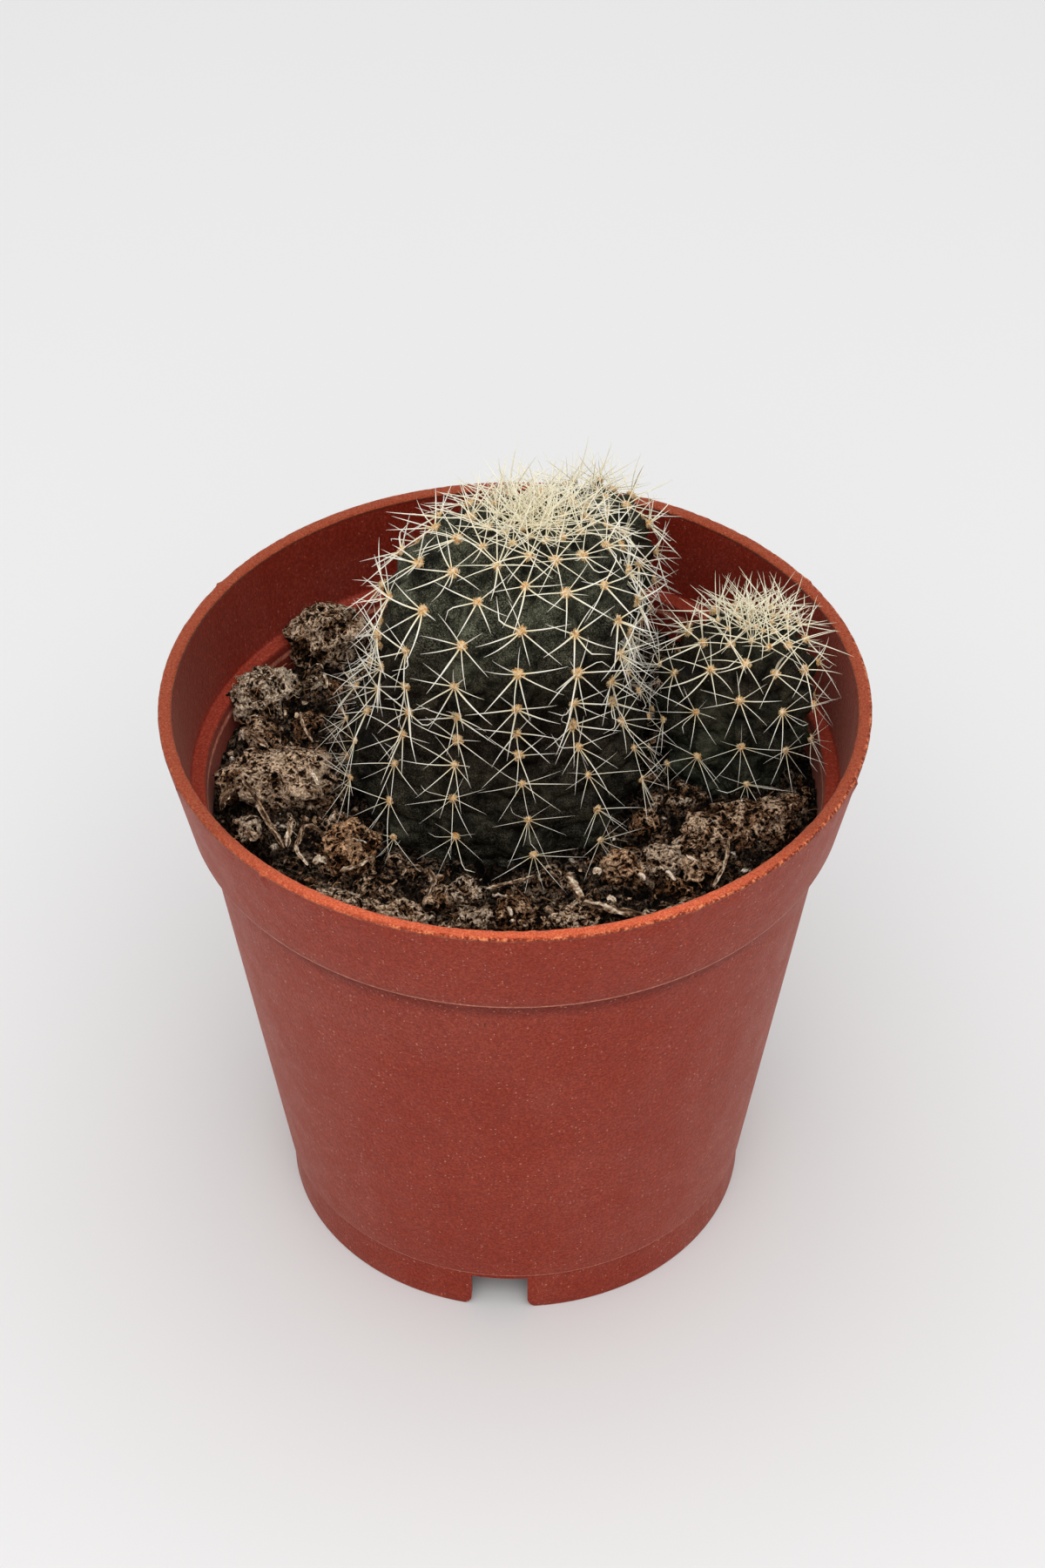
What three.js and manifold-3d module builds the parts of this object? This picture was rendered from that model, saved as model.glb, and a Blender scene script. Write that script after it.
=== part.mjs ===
// A round cactus with two offsets, growing in a terracotta-coloured plastic nursery pot.
// Millimetres, +Z up. The origin is on the pot's axis, on the surface that the pot stands on.
// The front of the pot, with one of its three foot notches, faces -Y.
import * as THREE from "three";
import { mergeVertices } from "three/addons/utils/BufferGeometryUtils.js";
import Module from "manifold-3d";

const wasm = await Module();
wasm.setup();

// Driving dimensions
const pot = {
  height: 77.2,
  rimRadius: 42.5, // outside, at the top of the lip
  lipWidth: 1.7,
  lipRound: 0.4,
  bandHeight: 13.5, // the wide collar below the lip
  bandFootRadius: 39.7,
  wallTopRadius: 38.2,
  wallFootRadius: 29.95,
  wallThickness: 0.95,
  ledgeHeight: 65.5, // the shelf inside, where collar and wall meet
  ledgeOuterRadius: 39.2,
  footHeight: 6.6,
  footStep: 0.3, // the wall starts with a tiny step above the foot
  footTopRadius: 29.5,
  footRadius: 29.35,
  footThickness: 1.2,
  floorUnderside: 5.6, // also the height of the notches
  floorThickness: 1.4,
  sides: 48,
};
const notch = { count: 3, width: 7.1, cornerRound: 0.9, firstAzimuth: -94 };
const drain = { count: 4, radius: 3, ring: 16, firstAzimuth: 45, sides: 10 };

const clearance = 0.35; // between pieces that rest on or in each other
const soil = { level: 62, edgeDip: 1, sides: 36, rings: 8, roughness: 0.8, grain: 4.2 };

// A stem is a dome on a near-upright body. An older, wider lobe may stand below the dome.
const mainStem = {
  name: "cactus_main_stem",
  foot: [-2.2, 2], // where its axis leaves the soil
  lean: [4.1, -2.2], // how far the crown stands off that point
  crownHeight: 103,
  dome: { radius: 15.1, height: 88, fall: 15 },
  lobe: { radius: 18.6, height: 67, rise: 19, fall: 19 },
  rootDepth: 7,
  ribs: 13,
  ribDepth: 1.5,
  firstRib: -75,
  twist: -15,
  areole: { firstStep: 1.5, growth: 0.42, fullStep: 5.4, waist: 81, waistHeight: 5, squeeze: 0.45 },
  spine: { length: 5.4, radial: 5, crown: 3 },
  seed: 11,
};
const rightStem = {
  name: "cactus_right_offset",
  foot: [26.5, 6],
  lean: [2.3, -0.4],
  crownHeight: 83.6,
  dome: { radius: 9.9, height: 72.8, fall: 29 },
  rootDepth: 6,
  ribs: 11,
  ribDepth: 1.1,
  firstRib: -78,
  twist: -24,
  areole: { firstStep: 1.6, growth: 0.45, fullStep: 6.3 },
  spine: { length: 5.2, radial: 4, crown: 3 },
  seed: 23,
};
const rearStem = {
  name: "cactus_rear_offset",
  foot: [9.6, 26.9],
  lean: [-0.9, -3.2],
  crownHeight: 89,
  dome: { radius: 8, height: 79.5, fall: 26 },
  rootDepth: 5,
  ribs: 9,
  ribDepth: 0.9,
  firstRib: -30,
  twist: -18,
  areole: { firstStep: 1.8, growth: 0.5, fullStep: 5.2 },
  spine: { length: 5.2, radial: 4, crown: 3 },
  seed: 37,
};
const leanPower = 3; // the lean gathers towards the crown
const lobeBlend = 7; // higher makes a sharper waist between dome and lobe
const skin = {
  tubercle: 0.75, // height of an areole above the saddle between two areoles
  maxDrop: 0.3, // of the radius, so that the crown stays whole
  reliefStart: 6.5, // ribs and tubercles grow to full height over this length from the crown
  lowestAreole: 1.6, // above the soil
  buriedRows: 3,
};
const spines = {
  rise: 24, // degrees above the skin
  riseSpread: 9,
  crownRise: 48,
  crownReach: 8, // how far down from the tip the crown's upright spines go
  turnSpread: 0.25, // of the angle between neighbours
  lengthSpread: 0.18,
  lifts: [0, 15, 30, 48], // degrees that a blocked spine may be bent up by
  steepest: 86,
  shares: [1, 0.75, 0.5], // of its length that a blocked spine may keep
  gap: 0.45, // to anything that another piece holds
  ownGap: 0.34, // between spines of one stem
  skinGap: 0.15,
};
const cushion = { radius: 0.42, crownRadius: 0.3, height: 0.32, sunk: 1.2 };

// Heaps in the soil's surface: place, height and spread
const heaps = [
  { at: [-23, 23], height: 2.4, spread: 8 },
  { at: [-30, 10], height: 1.4, spread: 8 },
  { at: [26, -10], height: 1.7, spread: 8 },
];
// Lumps of potting mix grown together with the soil below: place, radii and turn about Z
const clods = [
  { at: [-23.7, 24.4, 66.8], radii: [4.9, 3.9, 3.3], turn: 12 },
  { at: [-31, 14.6, 65.3], radii: [4.4, 3.3, 2.9], turn: 22 },
  { at: [-28.7, -0.7, 64.5], radii: [7.1, 4.4, 2.8], turn: 3 },
  { at: [-19.6, -13.2, 64.4], radii: [3.3, 3.2, 3], turn: 40 },
  { at: [-32.2, -9.6, 63.4], radii: [1.9, 2, 1.7], turn: 0 },
  { at: [-14, -23.2, 62.7], radii: [4, 2.3, 1.9], turn: -22 },
  { at: [26.3, -9.2, 64], radii: [7.6, 3.3, 2.6], turn: 24 },
  { at: [15.3, -15, 63.5], radii: [4.2, 2.2, 1.9], turn: -4 },
  { at: [22.1, -16.3, 63.5], radii: [2.3, 2.2, 2], turn: 0 },
];
const clodSurface = { roughness: 0.14, rooting: 1.9, sides: 8, rows: 5 };
const stemHole = { sides: 20, rows: 10 };

// Slips of bark and twigs bedded in the surface: ends and radius
const sticks = [
  { name: "bark_strand_left", from: [-32.6, -3.9, 67], to: [-27.4, -13.4, 64.2], radius: 0.6 },
  { name: "twig_left", from: [-33.4, 6.4, 66.2], to: [-30.2, 1.6, 67.4], radius: 0.7 },
  { name: "twig_rear_left", from: [-25, 19.8, 65.4], to: [-23.6, 16.8, 63.9], radius: 0.55 },
  { name: "bark_strip_front", from: [7.6, -22.2, 63.8], to: [15.6, -24.3, 63.4], radius: 0.85 },
];
const stickSides = 6;

const looks = {
  terracotta: { color: 0xa8452f, roughness: 0.55, metalness: 0 },
  pottingMix: { color: 0x3a2b1f, roughness: 1, metalness: 0 },
  bark: { color: 0xb09568, roughness: 0.9, metalness: 0 },
  skin: { color: 0x2c3a2c, roughness: 0.6, metalness: 0 },
};

// Small helpers
const radians = THREE.MathUtils.degToRad;
const smooth = (from, to, x) => THREE.MathUtils.smoothstep(x, from, to);

function seededRandom(seed) {
  let state = seed >>> 0;
  return () => {
    state = (state + 0x6d2b79f5) >>> 0;
    let t = state;
    t = Math.imul(t ^ (t >>> 15), t | 1);
    t ^= t + Math.imul(t ^ (t >>> 7), t | 61);
    return ((t ^ (t >>> 14)) >>> 0) / 4294967296;
  };
}

// A smooth bumpy field from -1 to 1, made of crossed waves
function bumps(x, y, z = 0) {
  return (
    (Math.sin(x * 1.7 + y * 0.6 + z) +
      Math.sin(y * 1.9 - x * 0.8 + 2.1 * z + 1.3) +
      Math.sin((x + y) * 1.1 + 1.6 * z + 4.2) +
      Math.sin((x - y) * 2.6 + 0.9 * z + 2.7)) /
    4
  );
}

function solidOf(geometry) {
  const bare = geometry.index ? geometry.toNonIndexed() : geometry.clone();
  bare.deleteAttribute("normal");
  bare.deleteAttribute("uv");
  const merged = mergeVertices(bare, 1e-4);
  return new wasm.Manifold(
    new wasm.Mesh({
      numProp: 3,
      vertProperties: merged.attributes.position.array,
      triVerts: new Uint32Array(merged.index.array),
    }),
  );
}

function meshOf(name, solid, look) {
  const data = solid.getMesh();
  const geometry = new THREE.BufferGeometry();
  geometry.setAttribute("position", new THREE.BufferAttribute(data.vertProperties, 3));
  geometry.setIndex(new THREE.BufferAttribute(data.triVerts, 1));
  geometry.computeVertexNormals();
  const mesh = new THREE.Mesh(geometry, new THREE.MeshStandardMaterial(look));
  mesh.name = name;
  return mesh;
}

// A closed skin from rings of points that run from the lower pole to the upper one
function skinOf(lowerPole, rings, upperPole) {
  const sides = rings[0].length;
  const points = [lowerPole, ...rings.flat(), upperPole];
  const top = points.length - 1;
  const at = (ring, side) => 1 + ring * sides + (side % sides);
  const faces = [];
  for (let side = 0; side < sides; side++) {
    faces.push(0, at(0, side + 1), at(0, side));
    for (let ring = 0; ring + 1 < rings.length; ring++) {
      faces.push(at(ring, side), at(ring, side + 1), at(ring + 1, side + 1));
      faces.push(at(ring, side), at(ring + 1, side + 1), at(ring + 1, side));
    }
    faces.push(at(rings.length - 1, side), at(rings.length - 1, side + 1), top);
  }
  const geometry = new THREE.BufferGeometry().setFromPoints(points);
  geometry.setIndex(faces);
  return geometry;
}

// The pot
const slope = (from, to, z) => from[0] + ((to[0] - from[0]) * (z - from[1])) / (to[1] - from[1]);
const bandFoot = pot.height - pot.bandHeight;
const floorTop = pot.floorUnderside + pot.floorThickness;
const wallOutside = (z) =>
  slope([pot.wallFootRadius, pot.footHeight], [pot.wallTopRadius, bandFoot], z);
const lipInside = pot.rimRadius - pot.lipWidth;

// Radius of the pot's inside at a height, above its floor
function potInside(z) {
  if (z > pot.ledgeHeight)
    return slope([pot.ledgeOuterRadius, pot.ledgeHeight], [lipInside, pot.height], Math.min(z, pot.height));
  return wallOutside(z) - pot.wallThickness;
}

function potSolid() {
  const outline = [
    [0, pot.floorUnderside],
    [pot.footTopRadius - pot.footThickness, pot.floorUnderside],
    [pot.footRadius - pot.footThickness, 0],
    [pot.footRadius, 0],
    [pot.footTopRadius, pot.footHeight - pot.footStep],
    [pot.wallFootRadius, pot.footHeight],
    [pot.wallTopRadius, bandFoot],
    [pot.bandFootRadius, bandFoot],
    [pot.rimRadius, pot.height - pot.lipRound],
    [pot.rimRadius - pot.lipRound, pot.height],
    [lipInside + pot.lipRound, pot.height],
    [lipInside, pot.height - pot.lipRound],
    [pot.ledgeOuterRadius, pot.ledgeHeight],
    [wallOutside(pot.ledgeHeight) - pot.wallThickness, pot.ledgeHeight],
    [potInside(floorTop), floorTop],
    [0, floorTop],
  ].map(([r, z]) => new THREE.Vector2(r, z));
  const turned = new THREE.LatheGeometry(outline, pot.sides);
  turned.rotateX(Math.PI / 2);
  let solid = solidOf(turned);
  for (let i = 0; i < notch.count; i++) solid = solid.subtract(notchCutter(i));
  for (let i = 0; i < drain.count; i++) solid = solid.subtract(drainCutter(i));
  return solid;
}

// A notch is a doorway in the foot, wider at its rounded lower corners
function notchCutter(index) {
  const half = notch.width / 2;
  const round = notch.cornerRound;
  const doorway = new THREE.Shape();
  doorway.moveTo(-half - round, -1);
  doorway.lineTo(half + round, -1);
  doorway.lineTo(half + round, 0);
  doorway.lineTo(half + round * 0.3, round * 0.3);
  doorway.lineTo(half, round);
  doorway.lineTo(half, pot.floorUnderside);
  doorway.lineTo(-half, pot.floorUnderside);
  doorway.lineTo(-half, round);
  doorway.lineTo(-half - round * 0.3, round * 0.3);
  doorway.lineTo(-half - round, 0);
  const depth = 2.5 * pot.footThickness;
  const block = new THREE.ExtrudeGeometry(doorway, { depth, bevelEnabled: false });
  block.rotateX(Math.PI / 2);
  block.rotateZ(Math.PI / 2);
  block.translate(pot.footRadius - 1.7 * pot.footThickness, 0, 0);
  block.rotateZ(radians(notch.firstAzimuth + (360 / notch.count) * index));
  return solidOf(block);
}

function drainCutter(index) {
  const hole = new THREE.CylinderGeometry(drain.radius, drain.radius, 2 * pot.floorThickness, drain.sides);
  hole.rotateX(Math.PI / 2);
  hole.translate(drain.ring, 0, pot.floorUnderside + pot.floorThickness / 2);
  hole.rotateZ(radians(drain.firstAzimuth + (360 / drain.count) * index));
  return solidOf(hole);
}

// The stems
const ellipse = (radius, height, rise, fall, z) => {
  const k = (z - height) / (z > height ? rise : fall);
  return Math.abs(k) < 1 ? radius * Math.sqrt(1 - k * k) : 0;
};

function stemRadius(stem, z) {
  const { dome, lobe } = stem;
  let radius = ellipse(dome.radius, dome.height, stem.crownHeight - dome.height, dome.fall, z);
  if (lobe) {
    const wide = ellipse(lobe.radius, lobe.height, lobe.rise, lobe.fall, z);
    radius = (radius ** lobeBlend + wide ** lobeBlend) ** (1 / lobeBlend);
  }
  const depth = (soil.level - z) / stem.rootDepth;
  return depth > 0 ? radius * Math.sqrt(Math.max(0, 1 - depth * depth)) : radius;
}

function stemCentre(stem, z) {
  const share = THREE.MathUtils.clamp((z - soil.level) / (stem.crownHeight - soil.level), 0, 1);
  const bend = share ** leanPower;
  return [stem.foot[0] + stem.lean[0] * bend, stem.foot[1] + stem.lean[1] * bend];
}

// The stem's side from crown to root, as points with their distance from the crown along the skin
function meridian(stem) {
  const steps = 400;
  const bottom = soil.level - stem.rootDepth;
  const points = [];
  let along = 0;
  for (let i = 0; i <= steps; i++) {
    const turn = (Math.PI * i) / steps;
    const z = bottom + ((stem.crownHeight - bottom) * (1 + Math.cos(turn))) / 2;
    const r = i === 0 || i === steps ? 0 : stemRadius(stem, z);
    const last = points.at(-1);
    if (last) along += Math.hypot(r - last.r, z - last.z);
    points.push({ r, z, along });
  }
  return points;
}

function onMeridian(points, along) {
  let i = points.findIndex((p) => p.along >= along);
  i = i < 1 ? 1 : i;
  const [a, b] = [points[i - 1], points[i]];
  const share = (along - a.along) / (b.along - a.along);
  const length = b.along - a.along;
  return {
    r: a.r + (b.r - a.r) * share,
    z: a.z + (b.z - a.z) * share,
    dr: (b.r - a.r) / length,
    dz: (b.z - a.z) / length,
  };
}

// Azimuth of a rib's crest at a height, in radians
function ribAzimuth(stem, rib, z) {
  const share = (z - soil.level) / (stem.crownHeight - soil.level);
  return radians(stem.firstRib + (360 / stem.ribs) * rib + stem.twist * share);
}

// Distances of a rib's areoles from the crown: close together in the crown, full steps below
function areoleStations(stem, points, rib) {
  const { firstStep, growth, fullStep, waist, waistHeight, squeeze } = stem.areole;
  const phase = ((rib * 5) % stem.ribs) / stem.ribs; // neighbouring ribs are out of step
  const stations = [];
  let along = firstStep * (0.7 + phase);
  while (true) {
    const { z } = onMeridian(points, along);
    if (z < soil.level + skin.lowestAreole) return stations;
    stations.push(along);
    let step = Math.min(fullStep, firstStep + growth * along);
    if (waist) step *= 1 - squeeze * Math.exp(-(((z - waist) / waistHeight) ** 2));
    along += step;
  }
}

// Rows of a rib's crest: an areole, a saddle, an areole and so on, then down to the root
function crestRows(stem, points, stations, rowCount) {
  const rows = [];
  stations.forEach((along, i) => {
    if (i > 0) rows.push({ along: (along + stations[i - 1]) / 2, drop: skin.tubercle });
    rows.push({ along, drop: 0 });
  });
  const last = stations.at(-1);
  const left = points.at(-1).along - last;
  const extra = rowCount - rows.length;
  for (let i = 1; i <= extra; i++) rows.push({ along: last + (left * i) / (extra + 1), drop: skin.tubercle });
  return rows;
}

function stemSkin(stem, points, stations) {
  const rowCount = 2 * Math.max(...stations.map((list) => list.length)) - 1 + skin.buriedRows;
  const crests = stations.map((list) => crestRows(stem, points, list, rowCount));
  const pointAt = (rib, along, drop) => {
    const { r, z } = onMeridian(points, along);
    const [cx, cy] = stemCentre(stem, z);
    const azimuth = ribAzimuth(stem, rib, z);
    const radius = r - Math.min(drop, skin.maxDrop * r);
    return new THREE.Vector3(cx + radius * Math.cos(azimuth), cy + radius * Math.sin(azimuth), z);
  };
  const rings = [];
  for (let row = rowCount - 1; row >= 0; row--) {
    const ring = [];
    for (let rib = 0; rib < stem.ribs; rib++) {
      const crest = crests[rib][row];
      const next = crests[(rib + 1) % stem.ribs][row];
      const valley = (crest.along + next.along) / 2;
      const shown = smooth(soil.level - 2, soil.level + 1, onMeridian(points, valley).z);
      const depth = stem.ribDepth * smooth(0, skin.reliefStart, valley) * shown;
      ring.push(pointAt(rib, crest.along, crest.drop * smooth(0, skin.reliefStart, crest.along)));
      ring.push(pointAt(rib + 0.5, valley, skin.tubercle + depth));
    }
    rings.push(ring);
  }
  const pole = (z) => new THREE.Vector3(...stemCentre(stem, z), z);
  return skinOf(pole(points.at(-1).z), rings, pole(points[0].z));
}

// The stem without ribs, swollen a little: what the soil and the clods leave room for
function stemRoom(stem, points) {
  const { sides, rows } = stemHole;
  const swell = clearance + stemRadius(stem, soil.level) * (1 - Math.cos(Math.PI / sides)) + 0.05;
  const length = points.at(-1).along;
  const rings = [];
  for (let row = rows - 1; row >= 1; row--) {
    const { r, z } = onMeridian(points, (length * row) / rows);
    const [cx, cy] = stemCentre(stem, z);
    const ring = [];
    for (let side = 0; side < sides; side++) {
      const azimuth = (2 * Math.PI * side) / sides;
      const radius = r + swell;
      ring.push(new THREE.Vector3(cx + radius * Math.cos(azimuth), cy + radius * Math.sin(azimuth), z));
    }
    rings.push(ring);
  }
  const pole = (z) => new THREE.Vector3(...stemCentre(stem, z), z);
  return solidOf(skinOf(pole(points.at(-1).z - swell), rings, pole(points[0].z + swell)));
}

// Areoles and their spines
function areoleFrame(stem, points, rib, along) {
  const { r, z, dr, dz } = onMeridian(points, along);
  const azimuth = ribAzimuth(stem, rib, z);
  const [cx, cy] = stemCentre(stem, z);
  const out = new THREE.Vector3(Math.cos(azimuth), Math.sin(azimuth), 0);
  const up = new THREE.Vector3(0, 0, 1);
  return {
    point: new THREE.Vector3(cx, cy, z).addScaledVector(out, r),
    normal: out.clone().multiplyScalar(-dz).addScaledVector(up, dr),
    down: out.clone().multiplyScalar(dr).addScaledVector(up, dz),
    side: new THREE.Vector3(-Math.sin(azimuth), Math.cos(azimuth), 0),
  };
}

const across = (frame, turn) =>
  frame.down.clone().multiplyScalar(Math.cos(turn)).addScaledVector(frame.side, Math.sin(turn));

// Every areole with the spines it would grow in free air: turn across the skin, rise and length
function areolesOf(stem, points, stations) {
  const random = seededRandom(stem.seed);
  const spread = () => 2 * random() - 1;
  const areoles = [];
  stations.forEach((list, rib) => {
    for (const along of list) {
      const crown = along < spines.crownReach;
      const count = crown ? stem.spine.crown : stem.spine.radial;
      const start = crown ? random() * 2 * Math.PI : Math.PI / count;
      const wishes = [];
      for (let i = 0; i < count; i++)
        wishes.push({
          turn: start + (2 * Math.PI * (i + spines.turnSpread * spread())) / count,
          rise: (crown ? spines.crownRise : spines.rise) + spines.riseSpread * spread(),
          length: stem.spine.length * (1 + spines.lengthSpread * spread()),
        });
      areoles.push({ ...areoleFrame(stem, points, rib, along), crown, start, wishes });
    }
  });
  return areoles;
}

function placeSpine(areole, turn, rise, length) {
  const flat = across(areole, turn);
  const root = areole.point.clone().addScaledVector(flat, cushion.radius / 2);
  const tip = root
    .clone()
    .addScaledVector(flat, length * Math.cos(radians(rise)))
    .addScaledVector(areole.normal, length * Math.sin(radians(rise)));
  return { root, tip, length };
}

function segmentGap(a, b) {
  if (a.root.distanceTo(b.root) > a.length + b.length + 1) return Infinity;
  let closest = Infinity;
  const steps = 8;
  const line = new THREE.Line3(b.root, b.tip);
  const spot = new THREE.Vector3();
  for (let i = 0; i <= steps; i++) {
    const point = a.root.clone().lerp(a.tip, i / steps);
    line.closestPointToPoint(point, true, spot);
    closest = Math.min(closest, point.distanceTo(spot));
  }
  return closest;
}

function nearStem(stem, p, gap) {
  if (p.z > stem.crownHeight + gap) return false;
  const [cx, cy] = stemCentre(stem, p.z);
  return Math.hypot(p.x - cx, p.y - cy) < stemRadius(stem, p.z) + gap;
}

// True where a spine stays clear of the pot, the soil, what lies on it and every stem
function inFreeAir(spine, ownStem) {
  const steps = 7;
  const { gap } = spines;
  for (let i = 1; i <= steps; i++) {
    const p = spine.root.clone().lerp(spine.tip, i / steps);
    if (Math.hypot(p.x, p.y) > potInside(p.z) - gap) return false;
    if (p.z < soilHeight(p.x, p.y) + gap) return false;
    if (clods.some((clod) => insideClod(clod, p, gap))) return false;
    if (sticks.some((stick) => stickGap(stick, p) < stick.radius + gap)) return false;
    if (stems.some((stem) => stem !== ownStem && nearStem(stem, p, gap))) return false;
    if (i > 2 && nearStem(ownStem, p, spines.skinGap)) return false;
  }
  return true;
}

// Each spine is bent up, then shortened, until it is clear, or else left out
function growSpines(stem, areoles, others) {
  const grown = [];
  for (const areole of areoles) {
    const here = areole.wishes.map((wish) => {
      for (const share of spines.shares)
        for (const lift of spines.lifts) {
          const rise = Math.min(spines.steepest, wish.rise + lift);
          const spine = placeSpine(areole, wish.turn, rise, wish.length * share);
          if (!inFreeAir(spine, stem)) continue;
          if (others.some((other) => segmentGap(spine, other) < spines.gap)) continue;
          if (grown.some((own) => segmentGap(spine, own) < spines.ownGap)) continue;
          return spine;
        }
      return null;
    });
    areole.spines = here; // a gap stays null
    grown.push(...here.filter(Boolean));
  }
  return grown;
}

// A low cushion sunk in the skin. Each sector of its top is drawn out into one three-sided spine.
function areoleSolid(areole) {
  const count = areole.wishes.length;
  const radius = areole.crown ? cushion.crownRadius : cushion.radius;
  const corner = (i, height) =>
    areole.point
      .clone()
      .addScaledVector(across(areole, areole.start + (2 * Math.PI * (i - 0.5)) / count), radius)
      .addScaledVector(areole.normal, height);
  const points = [
    areole.point.clone().addScaledVector(areole.normal, cushion.height),
    areole.point.clone().addScaledVector(areole.normal, -cushion.sunk),
  ];
  for (let i = 0; i < count; i++) points.push(corner(i, 0), corner(i, -cushion.sunk));
  const faces = [];
  for (let i = 0; i < count; i++) {
    const [here, next] = [2 + 2 * i, 2 + 2 * ((i + 1) % count)];
    faces.push(here, here + 1, next + 1, here, next + 1, next, 1, next + 1, here + 1);
    const spine = areole.spines[i];
    if (spine) {
      const tip = points.push(spine.tip) - 1;
      faces.push(0, here, tip, here, next, tip, next, 0, tip);
    } else faces.push(0, here, next);
  }
  const geometry = new THREE.BufferGeometry().setFromPoints(points);
  geometry.setIndex(faces);
  return solidOf(geometry);
}

// Soil and what lies on it
function soilHeight(x, y) {
  let height = soil.level - soil.edgeDip * smooth(30, 37, Math.hypot(x, y));
  for (const heap of heaps) {
    const away = Math.hypot(x - heap.at[0], y - heap.at[1]) / heap.spread;
    height += heap.height * Math.exp(-(away ** 2));
  }
  return height + soil.roughness * bumps(x / soil.grain, y / soil.grain);
}

function soilSolid() {
  const bottom = floorTop + clearance;
  const outerRadius = (z) => potInside(z) - clearance;
  const ring = (radius, height) =>
    Array.from({ length: soil.sides }, (_, side) => {
      const azimuth = (2 * Math.PI * side) / soil.sides;
      const [x, y] = [radius * Math.cos(azimuth), radius * Math.sin(azimuth)];
      return new THREE.Vector3(x, y, height ?? soilHeight(x, y));
    });
  const edge = outerRadius(soil.level);
  const rings = [ring(outerRadius(bottom), bottom)];
  for (let i = soil.rings; i >= 1; i--) rings.push(ring(edge * (i / soil.rings)));
  return solidOf(skinOf(new THREE.Vector3(0, 0, bottom), rings, new THREE.Vector3(0, 0, soilHeight(0, 0))));
}

function lump(clod) {
  const ball = new THREE.SphereGeometry(1, clodSurface.sides, clodSurface.rows);
  ball.rotateX(Math.PI / 2);
  const position = ball.getAttribute("position");
  const point = new THREE.Vector3();
  for (let i = 0; i < position.count; i++) {
    point.fromBufferAttribute(position, i);
    const [seedX, seedY] = clod.at;
    const rough = 1 + clodSurface.roughness * bumps(point.x * 2.3 + seedX, point.y * 2.3 + seedY, point.z * 3);
    if (point.z < 0) point.z *= clodSurface.rooting;
    point.multiplyScalar(rough).multiply(new THREE.Vector3(...clod.radii));
    position.setXYZ(i, point.x, point.y, point.z);
  }
  ball.rotateZ(radians(clod.turn));
  ball.translate(...clod.at);
  return solidOf(ball);
}

function insideClod(clod, p, gap) {
  const local = p.clone().sub(new THREE.Vector3(...clod.at));
  local.applyAxisAngle(new THREE.Vector3(0, 0, 1), -radians(clod.turn));
  const [a, b, c] = clod.radii.map((r) => r * (1 + clodSurface.roughness) + gap);
  return (local.x / a) ** 2 + (local.y / b) ** 2 + (local.z / c) ** 2 < 1;
}

// The room inside the pot that the lumps may fill
function potRoom() {
  const heights = [floorTop, pot.ledgeHeight, pot.ledgeHeight + clearance, pot.height];
  const wall = heights.map((z) => new THREE.Vector2(potInside(z) - clearance, z));
  const inside = new THREE.LatheGeometry(
    [new THREE.Vector2(0, floorTop), ...wall, new THREE.Vector2(0, pot.height)],
    pot.sides,
  );
  inside.rotateX(Math.PI / 2);
  return solidOf(inside);
}

function stickGap(stick, p) {
  const line = new THREE.Line3(new THREE.Vector3(...stick.from), new THREE.Vector3(...stick.to));
  return line.closestPointToPoint(p, true, new THREE.Vector3()).distanceTo(p);
}

function stickSolid(stick, swell) {
  const from = new THREE.Vector3(...stick.from);
  const to = new THREE.Vector3(...stick.to);
  const direction = to.clone().sub(from).normalize();
  const length = from.distanceTo(to) + 2 * swell;
  const radius = stick.radius + swell;
  const rod = new THREE.CylinderGeometry(radius * 0.8, radius, length, stickSides);
  rod.applyQuaternion(new THREE.Quaternion().setFromUnitVectors(new THREE.Vector3(0, 1, 0), direction));
  rod.translate(...from.clone().add(to).divideScalar(2));
  return solidOf(rod);
}

// Build everything
const stems = [mainStem, rightStem, rearStem];
const group = new THREE.Group();

group.add(meshOf("pot", potSolid(), looks.terracotta));

let earth = soilSolid();
const holes = [];
const spinesSoFar = [];
for (const stem of stems) {
  const points = meridian(stem);
  const stations = Array.from({ length: stem.ribs }, (_, rib) => areoleStations(stem, points, rib));
  const areoles = areolesOf(stem, points, stations);
  spinesSoFar.push(...growSpines(stem, areoles, spinesSoFar));
  let body = solidOf(stemSkin(stem, points, stations));
  for (const areole of areoles) body = body.add(areoleSolid(areole));
  holes.push(stemRoom(stem, points));
  group.add(meshOf(stem.name, body, looks.skin));
}

for (const clod of clods) earth = earth.add(lump(clod).intersect(potRoom()));
for (const hole of holes) earth = earth.subtract(hole);
for (const stick of sticks) {
  group.add(meshOf(stick.name, stickSolid(stick, 0), looks.bark));
  earth = earth.subtract(stickSolid(stick, clearance));
}
group.add(meshOf("soil", earth, looks.pottingMix));

export default group;
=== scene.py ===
import bisect
import math
import random

import bmesh
import bpy
from mathutils import Matrix, Vector, noise


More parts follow.
